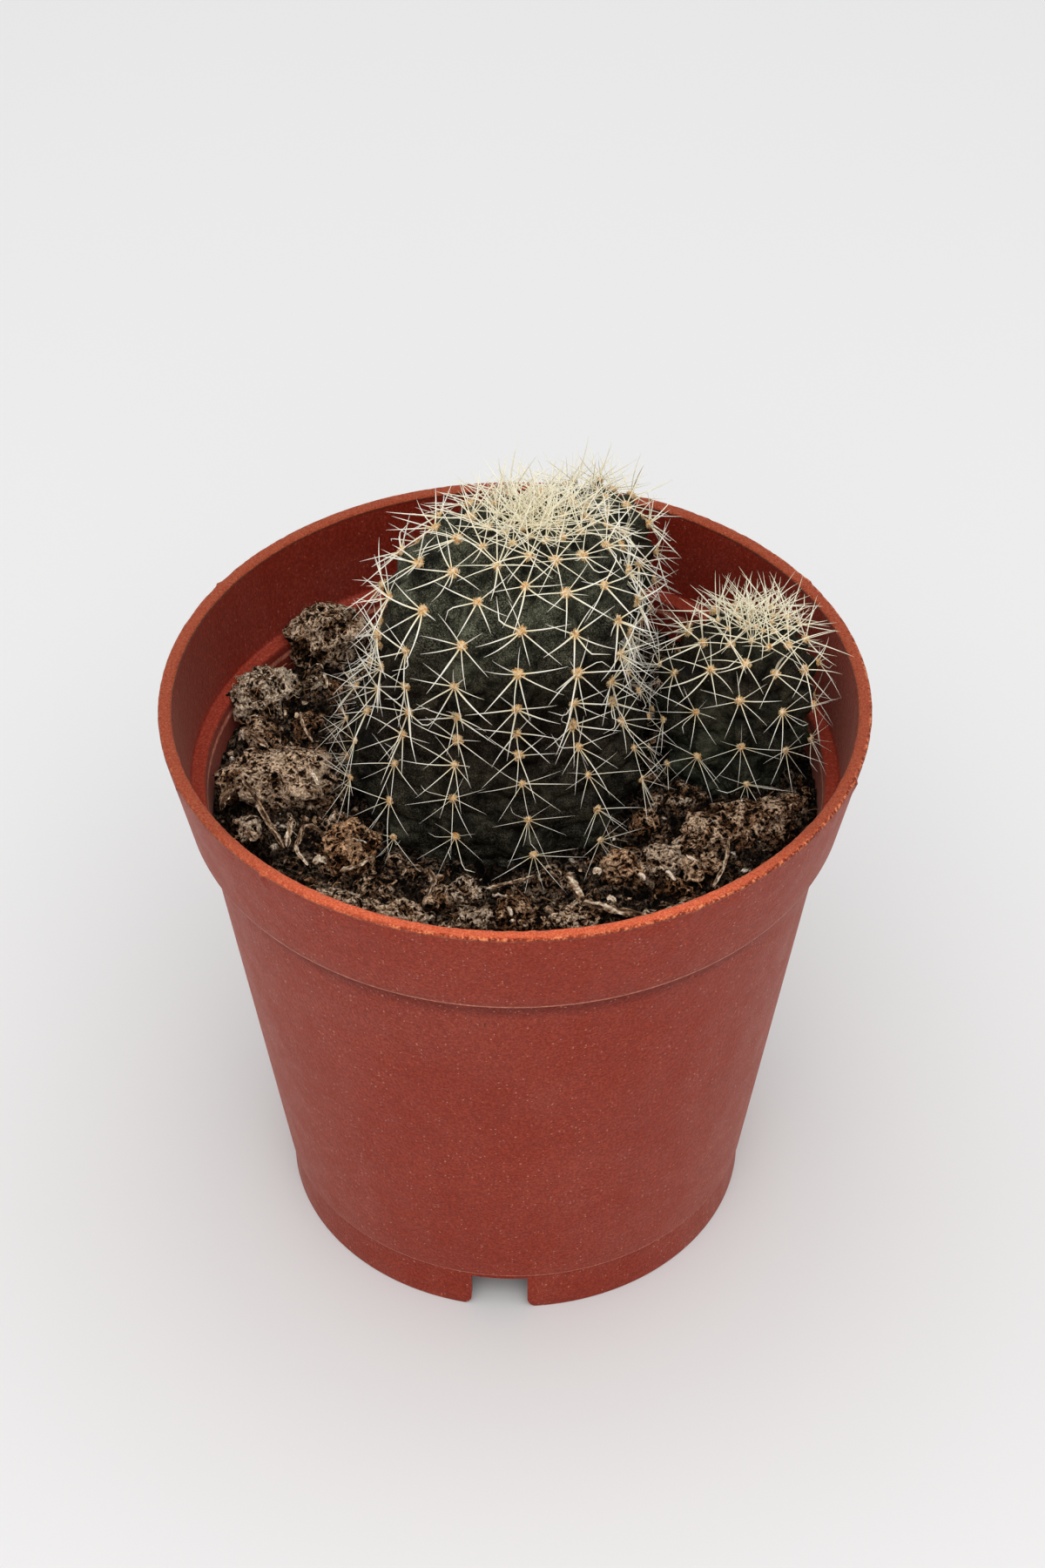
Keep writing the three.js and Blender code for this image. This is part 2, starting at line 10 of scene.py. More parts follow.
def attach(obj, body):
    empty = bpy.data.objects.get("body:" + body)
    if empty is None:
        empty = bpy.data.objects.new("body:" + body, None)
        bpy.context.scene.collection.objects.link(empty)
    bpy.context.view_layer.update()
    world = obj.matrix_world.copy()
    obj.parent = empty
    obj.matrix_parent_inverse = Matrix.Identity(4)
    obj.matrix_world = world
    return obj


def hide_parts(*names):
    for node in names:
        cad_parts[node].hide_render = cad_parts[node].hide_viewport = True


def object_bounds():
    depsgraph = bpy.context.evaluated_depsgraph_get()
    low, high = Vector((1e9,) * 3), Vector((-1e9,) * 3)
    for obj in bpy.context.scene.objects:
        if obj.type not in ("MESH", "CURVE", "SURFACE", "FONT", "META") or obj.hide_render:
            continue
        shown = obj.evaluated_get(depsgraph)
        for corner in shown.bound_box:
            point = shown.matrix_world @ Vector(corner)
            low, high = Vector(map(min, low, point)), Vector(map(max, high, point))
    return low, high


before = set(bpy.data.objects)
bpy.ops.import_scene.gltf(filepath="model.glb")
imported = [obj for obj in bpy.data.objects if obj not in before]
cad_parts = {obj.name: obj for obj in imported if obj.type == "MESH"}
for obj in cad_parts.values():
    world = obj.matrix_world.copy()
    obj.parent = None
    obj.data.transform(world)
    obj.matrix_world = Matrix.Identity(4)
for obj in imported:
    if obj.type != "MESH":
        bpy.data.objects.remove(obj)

# A round cactus with two offsets in a terracotta-coloured nursery pot.
# Sizes in the dictionaries are millimetres, the meshes are metres.
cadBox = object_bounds()
mm = 0.001
scene = bpy.context.scene

# Small helpers for meshes and nodes
def smoothStep(low, high, x):
    t = min(1, max(0, (x - low) / (high - low)))
    return t * t * (3 - 2 * t)


def addObject(name, mesh, material=None):
    thing = bpy.data.objects.new(name, mesh)
    scene.collection.objects.link(thing)
    if material:
        mesh.materials.clear()
        mesh.materials.append(material)
    return thing


def meshFrom(name, points, faces, sharpAngle=None):
    mesh = bpy.data.meshes.new(name)
    mesh.from_pydata([Vector(p) * mm for p in points], [], faces)
    mesh.validate()
    mesh.polygons.foreach_set("use_smooth", [True] * len(mesh.polygons))
    if sharpAngle:
        mesh.set_sharp_from_angle(angle=math.radians(sharpAngle))
    mesh.update()
    return mesh


def plainMesh(thing, name):
    shown = thing.evaluated_get(bpy.context.evaluated_depsgraph_get())
    mesh = bpy.data.meshes.new_from_object(shown)
    mesh.name = name
    return mesh


def faceOutward(mesh):
    bm = bmesh.new()
    bm.from_mesh(mesh)
    bmesh.ops.recalc_face_normals(bm, faces=bm.faces)
    bm.to_mesh(mesh)
    bm.free()


def shellFaces(rows, columns, flipped=False):
    # faces over a first point, rows of points round an axis, and a last point
    at = lambda row, column: 1 + row * columns + column % columns
    end = 1 + rows * columns
    faces = []
    for c in range(columns):
        faces.append((0, at(0, c + 1), at(0, c)))
        faces += [(at(r, c), at(r, c + 1), at(r + 1, c + 1), at(r + 1, c)) for r in range(rows - 1)]
        faces.append((at(rows - 1, c), at(rows - 1, c + 1), end))
    return [(face[0], *face[:0:-1]) for face in faces] if flipped else faces


def addNode(tree, kind, inputs=None, **settings):
    # an input is a value or a socket to link; a colour may leave out its alpha
    made = tree.nodes.new(kind)
    for key, value in settings.items():
        setattr(made, key, value)
    for key, value in (inputs or {}).items():
        socket = made.inputs[key]
        if isinstance(value, bpy.types.NodeSocket):
            tree.links.new(value, socket)
        else:
            socket.default_value = (*value, 1) if socket.type == "RGBA" and len(value) == 3 else value
    return made


def maths(tree, operation, a, b, clamp=False):
    return addNode(tree, "ShaderNodeMath", {0: a, 1: b}, operation=operation, use_clamp=clamp).outputs[0]


def times(tree, value, *others):
    for other in others:
        value = maths(tree, "MULTIPLY", value, other)
    return value


def plus(tree, a, b):
    return maths(tree, "ADD", a, b)


def minus(tree, a, b):
    return maths(tree, "SUBTRACT", a, b)


def mapped(tree, value, low, high, start=0.0, end=1.0):
    return addNode(tree, "ShaderNodeMapRange", {"Value": value, 1: low, 2: high, 3: start, 4: end}).outputs[0]


def vector(tree, x, y, z):
    return addNode(tree, "ShaderNodeCombineXYZ", {0: x, 1: y, 2: z}).outputs[0]


def vectorMaths(tree, operation, a, b, second=1):
    return addNode(tree, "ShaderNodeVectorMath", {0: a, second: b}, operation=operation).outputs[0]


def mixValue(tree, share, a, b):
    return addNode(tree, "ShaderNodeMix", {0: share, 2: a, 3: b}, data_type="FLOAT").outputs[0]


def mixColour(tree, share, a, b, blend="MIX"):
    made = addNode(tree, "ShaderNodeMix", {0: share, 6: a, 7: b}, data_type="RGBA", blend_type=blend)
    return made.outputs[2]


def tinted(tree, share, colour, tint):
    return mixColour(tree, share, colour, mixColour(tree, 1.0, colour, tint, "MULTIPLY"))


def ramp(tree, factor, stops):
    made = addNode(tree, "ShaderNodeValToRGB", {"Fac": factor})
    elements = made.color_ramp.elements
    while len(elements) < len(stops):
        elements.new(0.5)
    for element, (place, colour) in zip(elements, stops):
        element.position = place
        element.color = (*colour, 1)
    return made.outputs["Color"]


def ruffle(tree, inputs, amount):
    # a push in a random direction, read from noise
    push = addNode(tree, "ShaderNodeTexNoise", inputs).outputs["Color"]
    return vectorMaths(tree, "SCALE", vectorMaths(tree, "SUBTRACT", push, (0.5, 0.5, 0.5)), amount, "Scale")


print("helpers ready")

# Camera, floor and light
view = {
    "place": (0.885, -318.569, 342.194),
    "tilt": 48.741,
    "lens": 80,
    "floorColour": (0.77, 0.772, 0.775, 1),
    "floorHalf": 1.6,  # metres
    "roomLevel": 0.34,
    "lampColour": (1, 0.998, 0.993),
    "lamps": {  # place and size in metres, power
        "panelAbove": ((0, -0.12, 1.2), 2.2, 18.6),
        "cardInFront": ((0, -0.85, 0.9), 0.9, 4.9),
    },
}


def setTheStage():
    camera = bpy.data.objects.new("camera", bpy.data.cameras.new("camera"))
    camera.location = Vector(view["place"]) * mm
    camera.rotation_euler = (math.radians(view["tilt"]), 0, 0)
    camera.data.lens = view["lens"]
    camera.data.sensor_width = 36
    camera.data.clip_start = 0.01
    camera.data.clip_end = 20
    scene.collection.objects.link(camera)
    scene.camera = camera

    bm = bmesh.new()
    bmesh.ops.create_grid(bm, x_segments=8, y_segments=8, size=view["floorHalf"])
    mesh = bpy.data.meshes.new("floor")
    bm.to_mesh(mesh)
    bm.free()
    paper = bpy.data.materials.new("palePaper")
    paper.use_nodes = True
    shader = paper.node_tree.nodes["Principled BSDF"]
    shader.inputs["Base Color"].default_value = view["floorColour"]
    shader.inputs["Roughness"].default_value = 0.85
    addObject("floor", mesh, paper)

    world = bpy.data.worlds.new("studio")
    world.use_nodes = True
    background = world.node_tree.nodes["Background"]
    background.inputs["Color"].default_value = (1, 1, 1, 1)
    background.inputs["Strength"].default_value = view["roomLevel"]
    scene.world = world

    for name, (place, size, power) in view["lamps"].items():
        lamp = bpy.data.lights.new(name, "AREA")
        lamp.size = size
        lamp.energy = power
        lamp.color = view["lampColour"]
        panel = bpy.data.objects.new(name, lamp)
        panel.location = place
        panel.rotation_euler = (-Vector(place)).to_track_quat("-Z", "Y").to_euler()
        scene.collection.objects.link(panel)
    scene.view_settings.view_transform = "Standard"


setTheStage()
print("stage set")


# Effects that several finishes share
def newGroup(name, inputs):
    # a group that turns numbers into one number
    group = bpy.data.node_groups.new(name, "ShaderNodeTree")
    for label, value in inputs.items():
        group.interface.new_socket(label, in_out="INPUT", socket_type="NodeSocketFloat").default_value = value
    group.interface.new_socket("Value", in_out="OUTPUT", socket_type="NodeSocketFloat")
    return group, group.nodes.new("NodeGroupInput").outputs, group.nodes.new("NodeGroupOutput").inputs[0]


def objectPoint(tree):
    return addNode(tree, "ShaderNodeTexCoord").outputs["Object"]


def stretchedPoint(tree, upward):
    inputs = {"Vector": objectPoint(tree), "Scale": (1, 1, upward)}
    return addNode(tree, "ShaderNodeMapping", inputs).outputs[0]


def noiseValue(tree, scale, detail=3.0, rough=0.55, point=None):
    inputs = {"Vector": point or objectPoint(tree), "Scale": scale, "Detail": detail, "Roughness": rough}
    return addNode(tree, "ShaderNodeTexNoise", inputs).outputs["Fac"]


def makeSpeckGroup():
    # pale specks scattered over a surface, each its own size, in patches
    group, taken, given = newGroup("paleSpecks", {"Spacing": 900.0, "Size": 0.16, "Amount": 0.5})
    point, spacing = objectPoint(group), taken["Spacing"]
    ragged = {"Vector": point, "Scale": times(group, spacing, 2.2)}
    place = vectorMaths(group, "ADD", point, ruffle(group, ragged, maths(group, "DIVIDE", 0.8, spacing)))
    cells = addNode(group, "ShaderNodeTexVoronoi", {"Vector": place, "Scale": spacing}).outputs
    lottery = addNode(group, "ShaderNodeSeparateColor", {"Color": cells["Color"]}).outputs["Red"]
    chance = times(group, taken["Amount"], noiseValue(group, 120.0, 2.0), 2.0)
    chosen = maths(group, "LESS_THAN", lottery, chance)
    reach = times(group, taken["Size"], plus(group, lottery, 0.6))
    group.links.new(times(group, chosen, maths(group, "LESS_THAN", cells["Distance"], reach)), given)
    return group


def makeGrainGroup():
    # fine moulded or crumbly grain, as a height from 0 to 1
    group, taken, given = newGroup("fineGrain", {"Scale": 1500.0, "Coarse": 200.0, "Coarse Share": 0.4})
    fine = noiseValue(group, taken["Scale"], 3.0, 0.6)
    coarse = noiseValue(group, taken["Coarse"], 3.0, 0.6)
    group.links.new(mixValue(group, taken["Coarse Share"], fine, coarse), given)
    return group


def makeWrinkleGroup():
    # thin raised wrinkles with deep hollows between them, as a height from 0 to 1
    group, taken, given = newGroup("wrinkles", {"Scale": 1000.0})
    folds = addNode(group, "ShaderNodeTexNoise", {
        "Vector": objectPoint(group), "Scale": taken["Scale"], "Detail": 5.0, "Roughness": 0.85,
        "Lacunarity": 2.3, "Offset": 0.9, "Gain": 2.0, "Distortion": 0.35,
    }, noise_type="RIDGED_MULTIFRACTAL").outputs["Fac"]
    group.links.new(mapped(group, folds, 0.3, 1.9), given)
    return group


speckGroup = makeSpeckGroup()
grainGroup = makeGrainGroup()
wrinkleGroup = makeWrinkleGroup()


def useGroup(tree, group, values):
    return addNode(tree, "ShaderNodeGroup", values, node_tree=group).outputs[0]


def newFinish(name, roughness, specular):
    finish = bpy.data.materials.new(name)
    finish.use_nodes = True
    tree = finish.node_tree
    shader = tree.nodes["Principled BSDF"]
    shader.inputs["Roughness"].default_value = roughness
    shader.inputs["Specular IOR Level"].default_value = specular
    return finish, tree, shader


def dress(tree, shader, colour, height, strength, distance, roughness=None):
    # link the finished colour, the relief (its depth in millimetres) and the roughness
    tree.links.new(colour, shader.inputs["Base Color"])
    inputs = {"Height": height, "Strength": strength, "Distance": distance * mm}
    tree.links.new(addNode(tree, "ShaderNodeBump", inputs).outputs["Normal"], shader.inputs["Normal"])
    if roughness:
        tree.links.new(roughness, shader.inputs["Roughness"])


# The pot
potSizes = {
    "height": 77.2,
    "rimRadius": 42.5,
    "lipWidth": 1.7,
    "lipRound": 0.55,
    "bandHeight": 13.5,
    "bandFootRadius": 39.7,
    "wallTopRadius": 38.2,
    "wallFootRadius": 29.95,
    "wallThickness": 0.95,
    "ledgeHeight": 65.5,
    "ledgeOuterRadius": 39.2,
    "footHeight": 6.6,
    "footStep": 0.3,
    "footTopRadius": 29.5,
    "footRadius": 29.35,
    "footThickness": 1.2,
    "floorUnderside": 5.6,
    "floorThickness": 1.4,
    "sides": 480,
    "lipRoughness": 0.09,
    "roughBelowTop": 0.8,
    "burrs": [(-22, 0.45), (-62, 0.3), (203, 0.3), (150, 0.25), (228, 0.35), (31, 0.3)],  # azimuth, reach
    "burrHalfAngle": 0.8,
    "notches": 3,
    "notchWidth": 7.1,
    "notchAzimuth": -94,
    "notchRound": 1.5,
    "drains": 4,
    "drainAzimuth": 45,
    "drainRing": 16,
    "drainRadius": 3,
    "drainSides": 24,
}


def wallOutside(z):
    s = potSizes
    share = (z - s["footHeight"]) / (s["height"] - s["bandHeight"] - s["footHeight"])
    return s["wallFootRadius"] + (s["wallTopRadius"] - s["wallFootRadius"]) * share


def potInside(z):
    s = potSizes
    if z > s["ledgeHeight"]:
        share = min(1, (z - s["ledgeHeight"]) / (s["height"] - s["ledgeHeight"]))
        return s["ledgeOuterRadius"] + (s["rimRadius"] - s["lipWidth"] - s["ledgeOuterRadius"]) * share
    return wallOutside(z) - s["wallThickness"]


def roundedOutline(corners, steps=4):
    # each corner is (radius, height, rounding); a rounded corner becomes a short arc
    outline = []
    for i, (r, z, rounding) in enumerate(corners):
        here = Vector((r, z))
        if rounding == 0:
            outline.append(here)
            continue
        before = Vector(corners[i - 1][:2]) - here
        after = Vector(corners[i + 1][:2]) - here
        reach = min(rounding, before.length * 0.45, after.length * 0.45)
        start = here + before.normalized() * reach
        end = here + after.normalized() * reach
        for k in range(steps + 1):
            t = k / steps
            outline.append(start * (1 - t) ** 2 + here * 2 * t * (1 - t) + end * t * t)
    return outline


def subdivided(outline, longest):
    finer = [outline[0]]
    for a, b in zip(outline, outline[1:]):
        count = max(1, math.ceil((b - a).length / longest))
        finer += [a.lerp(b, (k + 1) / count) for k in range(count)]
    return finer


def potOutline():
    # the wall's section, from the middle of the underside round the foot, wall and lip to the floor inside
    s = potSizes
    bandFoot = s["height"] - s["bandHeight"]
    floorTop = s["floorUnderside"] + s["floorThickness"]
    corners = [
        (0, s["floorUnderside"], 0),
        (s["footTopRadius"] - s["footThickness"], s["floorUnderside"], 0.4),
        (s["footRadius"] - s["footThickness"], 0, 0.15),
        (s["footRadius"], 0, 0.25),
        (s["footTopRadius"], s["footHeight"] - s["footStep"], 0.2),
        (s["wallFootRadius"], s["footHeight"], 0.2),
        (wallOutside(bandFoot), bandFoot, 0.25),
        (s["bandFootRadius"], bandFoot, 0.5),
        (s["rimRadius"], s["height"], s["lipRound"]),
        (s["rimRadius"] - s["lipWidth"], s["height"], s["lipRound"]),
        (s["ledgeOuterRadius"], s["ledgeHeight"], 0.5),
        (wallOutside(s["ledgeHeight"]) - s["wallThickness"], s["ledgeHeight"], 0.35),
        (potInside(floorTop), floorTop, 0.6),
        (0, floorTop, 0),
    ]
    return subdivided(roundedOutline(corners), 3.0)


def roughLip(turn, row, radius, height):
    # the trimmed lip is a little rough, with a few burrs
    s = potSizes
    if height <= s["height"] - s["roughBelowTop"]:
        return radius, height
    around = Vector((math.cos(turn), math.sin(turn), 0))
    rough = noise.fractal(around * 34 + Vector((0, 0, row * 0.7)), 0.6, 2.1, 3)
    height += s["lipRoughness"] * (min(rough, 0.5) - 0.5)
    radius -= s["lipRoughness"] * abs(rough)
    if radius > s["rimRadius"] - 0.5:
        for azimuth, reach in s["burrs"]:
            apart = (math.degrees(turn) - azimuth + 180) % 360 - 180
            radius += reach * max(0, 1 - abs(apart) / s["burrHalfAngle"])
    return radius, height


def prism(near, far):
    # a closed body between two outlines with the same number of points
    n = len(near)
    walls = [(k, (k + 1) % n, n + (k + 1) % n, n + k) for k in range(n)]
    mesh = meshFrom("cutter", near + far, walls + [tuple(reversed(range(n))), tuple(range(n, 2 * n))])
    faceOutward(mesh)
    return addObject("cutter", mesh)


def potCutters():
    s = potSizes
    half, corner, top = s["notchWidth"] / 2, s["notchRound"], s["floorUnderside"] + 0.01
    swing = [(half + corner * (1 - math.sin(t)), corner * (1 - math.cos(t))) for t in (0.4, 0.8, 1.2)]
    right = [(half + corner, -1), (half + corner, 0)] + swing + [(half, corner), (half, top)]
    doorway = [(-right[0][0], -1)] + right + [(-y, z) for y, z in reversed(right[1:])]
    cutters = []
    for i in range(s["notches"]):
        turn = Matrix.Rotation(math.radians(s["notchAzimuth"] + 360 / s["notches"] * i), 3, "Z")
        cutters.append(prism(*([turn @ Vector((reach, y, z)) for y, z in doorway] for reach in (26, 32))))
    for i in range(s["drains"]):
        middle = Vector((s["drainRing"], 0, 0))
        middle.rotate(Matrix.Rotation(math.radians(s["drainAzimuth"] + 360 / s["drains"] * i), 3, "Z"))
        steps = [2 * math.pi * k / s["drainSides"] for k in range(s["drainSides"])]
        ring = [(s["drainRadius"] * math.cos(t), s["drainRadius"] * math.sin(t)) for t in steps]
        heights = (s["floorUnderside"] - 1, s["floorUnderside"] + s["floorThickness"] + 1)
        cutters.append(prism(*([middle + Vector((*spot, z)) for spot in ring] for z in heights)))
    return cutters


def buildPot(plastic):
    outline, sides = potOutline(), potSizes["sides"]
    points = [(0, 0, outline[0].y)]
    for row, spot in enumerate(outline[1:-1]):
        for side in range(sides):
            turn = 2 * math.pi * side / sides
            radius, height = roughLip(turn, row, *spot)
            points.append((radius * math.cos(turn), radius * math.sin(turn), height))
    points.append((0, 0, outline[-1].y))
    pot = addObject("nurseryPot", meshFrom("nurseryPot", points, shellFaces(len(outline) - 2, sides)))
    cutters = potCutters()
    for cutter in cutters:
        cut = pot.modifiers.new("cut", "BOOLEAN")
        cut.object = cutter
        cut.operation = "DIFFERENCE"
        cut.solver = "EXACT"
    finished = plainMesh(pot, "nurseryPot")
    pot.modifiers.clear()
    pot.data = finished
    for cutter in cutters:
        bpy.data.objects.remove(cutter)
    finished.materials.clear()
    finished.materials.append(plastic)
    finished.polygons.foreach_set("use_smooth", [True] * len(finished.polygons))
    finished.set_sharp_from_angle(angle=math.radians(50))
    return pot


potLook = {
    "plastic": ((0.212, 0.0166, 0.006), (0.262, 0.0238, 0.0085)),
    # painted shade for the inside of the pot, and the ledge painted lighter as it is lit from above
    "inside": (0.135, 0.008, 0.0035),
    "ledge": (0.24, 0.025, 0.011),
    "flowMarks": (0.38, 0.1, 0.07),
    "bloom": (0.6, 0.28, 0.22),
    # painted shadow under the band
    "paintedShadowUnderBand": (0.09, 0.006, 0.003),
    # painted highlight on the edges of the band and of the foot
    "paintedEdgeHighlight": (0.75, 0.27, 0.17),
    "grit": [(0.34, (0.86, 0.8, 0.78)), (0.48, (1, 1, 1)), (0.66, (1.4, 1.8, 1.9))],
    "dust": (0.85, 0.46, 0.34),
    "lip": [
        (0.36, (0.36, 0.042, 0.015)), (0.5, (0.5, 0.088, 0.034)),
        (0.64, (0.6, 0.15, 0.07)), (0.76, (0.95, 0.45, 0.3))],
    "lipEdge": 0.3,  # how far inside the lip's edges its worn look is complete
    "lipPaintedLight": (1.36, 0.66),  # painted light, at the front and at the back
    "lipTurn": (-37, -24),  # from the one to the other
    "tornFrom": (-26, -10),  # the lip is torn less to the left of this
    "midWall": (28.5, 0.1444),  # radius at the foot and slope, half way through the wall's thickness
    "midCollar": (64.6, 0.0256),  # the height from which the collar adds to the slope
    "tornLip": [(0.42, (0.08, 0.007, 0.004)), (0.5, (0.4, 0.05, 0.018)), (0.62, (0.85, 0.3, 0.13))],
    "sheen": 0.17,
    "sheenTint": (1, 0.54, 0.42, 1),
}


def heightBand(tree, z, low, high, edge):
    # 1 between two heights, fading over the edge
    rise = mapped(tree, z, (low - edge) * mm, low * mm)
    return times(tree, rise, mapped(tree, z, high * mm, (high + edge) * mm, 1.0, 0.0))


def potFinish():
    s, look = potSizes, potLook
    finish, tree, shader = newFinish("terracottaPlastic", 0.5, 0.12)
    shader.inputs["Sheen Weight"].default_value = look["sheen"]
    shader.inputs["Sheen Tint"].default_value = look["sheenTint"]
    shader.inputs["Sheen Roughness"].default_value = 0.45
    x, y, z = addNode(tree, "ShaderNodeSeparateXYZ", {"Vector": objectPoint(tree)}).outputs
    flat = vector(tree, x, y, 0)
    reach = addNode(tree, "ShaderNodeVectorMath", {0: flat}, operation="LENGTH").outputs["Value"]
    # the middle of the wall's thickness tells the inside from the outside
    (footMiddle, wallSlope), (collarFoot, extra) = look["midWall"], look["midCollar"]
    slope = plus(tree, times(tree, maths(tree, "GREATER_THAN", z, collarFoot * mm), extra), wallSlope)
    inside = maths(tree, "LESS_THAN", reach, plus(tree, times(tree, z, slope), footMiddle * mm))
    colour = mixColour(tree, noiseValue(tree, 55.0, 4.0, 0.6), *look["plastic"])
    # painted shade darkens the inside of the pot; the ledge, lit from above, keeps a colour near the plastic's
    # own
    colour = mixColour(tree, times(tree, inside, 0.75), colour, look["inside"])
    ledge = heightBand(tree, z, s["ledgeHeight"] - 0.3, s["ledgeHeight"] + 0.05, 0.2)
    colour = mixColour(tree, times(tree, ledge, inside), colour, look["ledge"])
    # faint flow marks run down the wall
    streaks = mapped(tree, noiseValue(tree, 260.0, 2.0, 0.5, stretchedPoint(tree, 0.12)), 0.45, 0.75)
    colour = mixColour(tree, times(tree, streaks, 0.06), colour, look["flowMarks"])
    bloom = mapped(tree, noiseValue(tree, 34.0, 5.0, 0.65), 0.5, 0.85)
    colour = mixColour(tree, times(tree, bloom, 0.08), colour, look["bloom"])
    # painted shadow darkens the wall under the band's overhang, and painted highlights make the edges of the
    # band and of the foot pale
    bandFoot = s["height"] - s["bandHeight"]
    paintedShadowUnderBand = times(tree, heightBand(tree, z, bandFoot - 2.1, bandFoot - 0.3, 1.6), minus(tree, 1.0, inside))
    colour = mixColour(tree, times(tree, paintedShadowUnderBand, 0.55), colour, look["paintedShadowUnderBand"])
    # painted highlights: the band's lower edge and the foot's step are painted pale as if they caught the light
    footHighlight = times(tree, heightBand(tree, z, s["footHeight"], s["footHeight"] + 0.15, 0.12), 0.7)
    edge = maths(tree, "MAXIMUM", heightBand(tree, z, bandFoot, bandFoot + 0.35, 0.25), footHighlight)
    colour = mixColour(tree, times(tree, edge, noiseValue(tree, 700.0), 0.95), colour, look["paintedEdgeHighlight"])
    # the moulded grain: dark and pale points, some nearly white
    grit = ramp(tree, noiseValue(tree, 3400.0, 2.0, 0.6, stretchedPoint(tree, 0.65)), look["grit"])
    colour = mixColour(tree, 1.0, colour, grit, "MULTIPLY")
    small = useGroup(tree, speckGroup, {"Spacing": 2100.0, "Size": 0.28, "Amount": 0.22})
    large = useGroup(tree, speckGroup, {"Spacing": 700.0, "Size": 0.1, "Amount": 0.08})
    dusty = times(tree, minus(tree, 1.0, times(tree, inside, 0.6)), 0.4)
    colour = mixColour(tree, times(tree, maths(tree, "MAXIMUM", small, large), dusty), colour, look["dust"])
    # the trimmed lip gets painted light, brightest at the front and dimmer at the back, with torn pits along
    # its outer edge
    depths = (s["lipRound"], look["lipEdge"])
    lip = mapped(tree, z, *((s["height"] - depth) * mm for depth in depths))
    tone = ramp(tree, noiseValue(tree, 4300.0, 4.0, 0.75), look["lip"])
    lipLight = mapped(tree, y, *(place * mm for place in look["lipTurn"]), *look["lipPaintedLight"])
    tone = vectorMaths(tree, "SCALE", tone, lipLight, "Scale")
    torn = mapped(tree, reach, *((s["rimRadius"] - depth) * mm for depth in depths))
    torn = times(tree, torn, mapped(tree, x, *(place * mm for place in look["tornFrom"]), 0.25), 0.8)
    tone = mixColour(tree, torn, tone, ramp(tree, noiseValue(tree, 1900.0, 3.0, 0.8), look["tornLip"]))
    colour = mixColour(tree, lip, colour, tone)
    grain = useGroup(tree, grainGroup, {"Scale": 3300.0, "Coarse": 1100.0, "Coarse Share": 0.4})
    relief = plus(tree, grain, times(tree, noiseValue(tree, 1300.0, 4.0, 0.7), lip, 2.5))
    dress(tree, shader, colour, relief, 0.9, 0.2, mapped(tree, noiseValue(tree, 320.0), 0.3, 0.7, 0.44, 0.58))
    return finish


pot = buildPot(potFinish())
print("pot built,", len(pot.data.polygons), "faces")

# The stems, by the same rules as their solids
soilLevel = 62
mainStem = {
    "node": "cactus_main_stem",
    "foot": (-2.2, 2),
    "lean": (4.1, -2.2),
    "crown": 103,
    "dome": (15.1, 88, 15),
    "lobe": (18.6, 67, 19, 19),
    "rootDepth": 7,
    "ribs": 13,
    "ribDepth": 1.5,
    "firstRib": -75,
    "twist": -15,
    "firstStep": 1.5,
    "growth": 0.42,
    "fullStep": 5.4,
    "waist": (81, 5, 0.45),
    "columnsPerRib": 18,
    "rowStep": 0.3,
    "spineLength": 5.5,
    "radial": 8,
    "crownSpines": 9,
    "seed": 11,
}
rightStem = {
    "node": "cactus_right_offset",
    "foot": (26.5, 6),
    "lean": (2.3, -0.4),
    "crown": 83.6,
    "dome": (9.9, 72.8, 29),
    "rootDepth": 6,
    "ribs": 11,
    "ribDepth": 1.1,
    "firstRib": -78,
    "twist": -24,
    "firstStep": 1.6,
    "growth": 0.45,
    "fullStep": 6.3,
    "columnsPerRib": 16,
    "rowStep": 0.3,
    "spineLength": 5.2,
    "radial": 8,
    "crownSpines": 7,
    "seed": 23,
}
rearStem = {
    "node": "cactus_rear_offset",
    "foot": (9.6, 26.9),
    "lean": (-0.9, -3.2),
    "crown": 89,
    "dome": (8, 79.5, 26),
    "rootDepth": 5,
    "ribs": 9,
    "ribDepth": 0.9,
    "firstRib": -30,
    "twist": -18,
    "firstStep": 1.8,
    "growth": 0.5,
    "fullStep": 5.2,
    "columnsPerRib": 16,
    "rowStep": 0.35,
    "spineLength": 5.2,
    "radial": 8,
    "crownSpines": 7,
    "seed": 37,
}
stems = [mainStem, rightStem, rearStem]
skinShape = {
    "leanPower": 3,  # the lean gathers towards the crown
    "lobeBlend": 7,
    "tubercle": 0.75,
    "reliefStart": 6.5,
    "deepest": 0.3,  # of the radius
    "lowestAreole": 1.6,
    "chin": 0.8,
    "crease": 0.75,
    "fold": 0.55,
    "foldsEnd": (78, 92),  # heights between which creases and folds become shallow
    "unevenness": 0.2,
    "creaseWidth": 0.09,  # of the way between two areoles
    "endStep": 5.2,  # beyond the first and the last areole
}


def arcRadius(radius, height, rise, fall, z):
    k = (z - height) / (rise if z > height else fall)
    return radius * math.sqrt(1 - k * k) if abs(k) < 1 else 0


def stemRadius(stem, z):
    wide, height, fall = stem["dome"]
    radius = arcRadius(wide, height, stem["crown"] - height, fall, z)
    if "lobe" in stem:
        lobe, place, rise, drop = stem["lobe"]
        power = skinShape["lobeBlend"]
        radius = (radius ** power + arcRadius(lobe, place, rise, drop, z) ** power) ** (1 / power)
    depth = (soilLevel - z) / stem["rootDepth"]
    return radius * math.sqrt(max(0, 1 - depth * depth)) if depth > 0 else radius


def stemCentre(stem, z):
    share = min(1, max(0, (z - soilLevel) / (stem["crown"] - soilLevel))) ** skinShape["leanPower"]
    return stem["foot"][0] + stem["lean"][0] * share, stem["foot"][1] + stem["lean"][1] * share


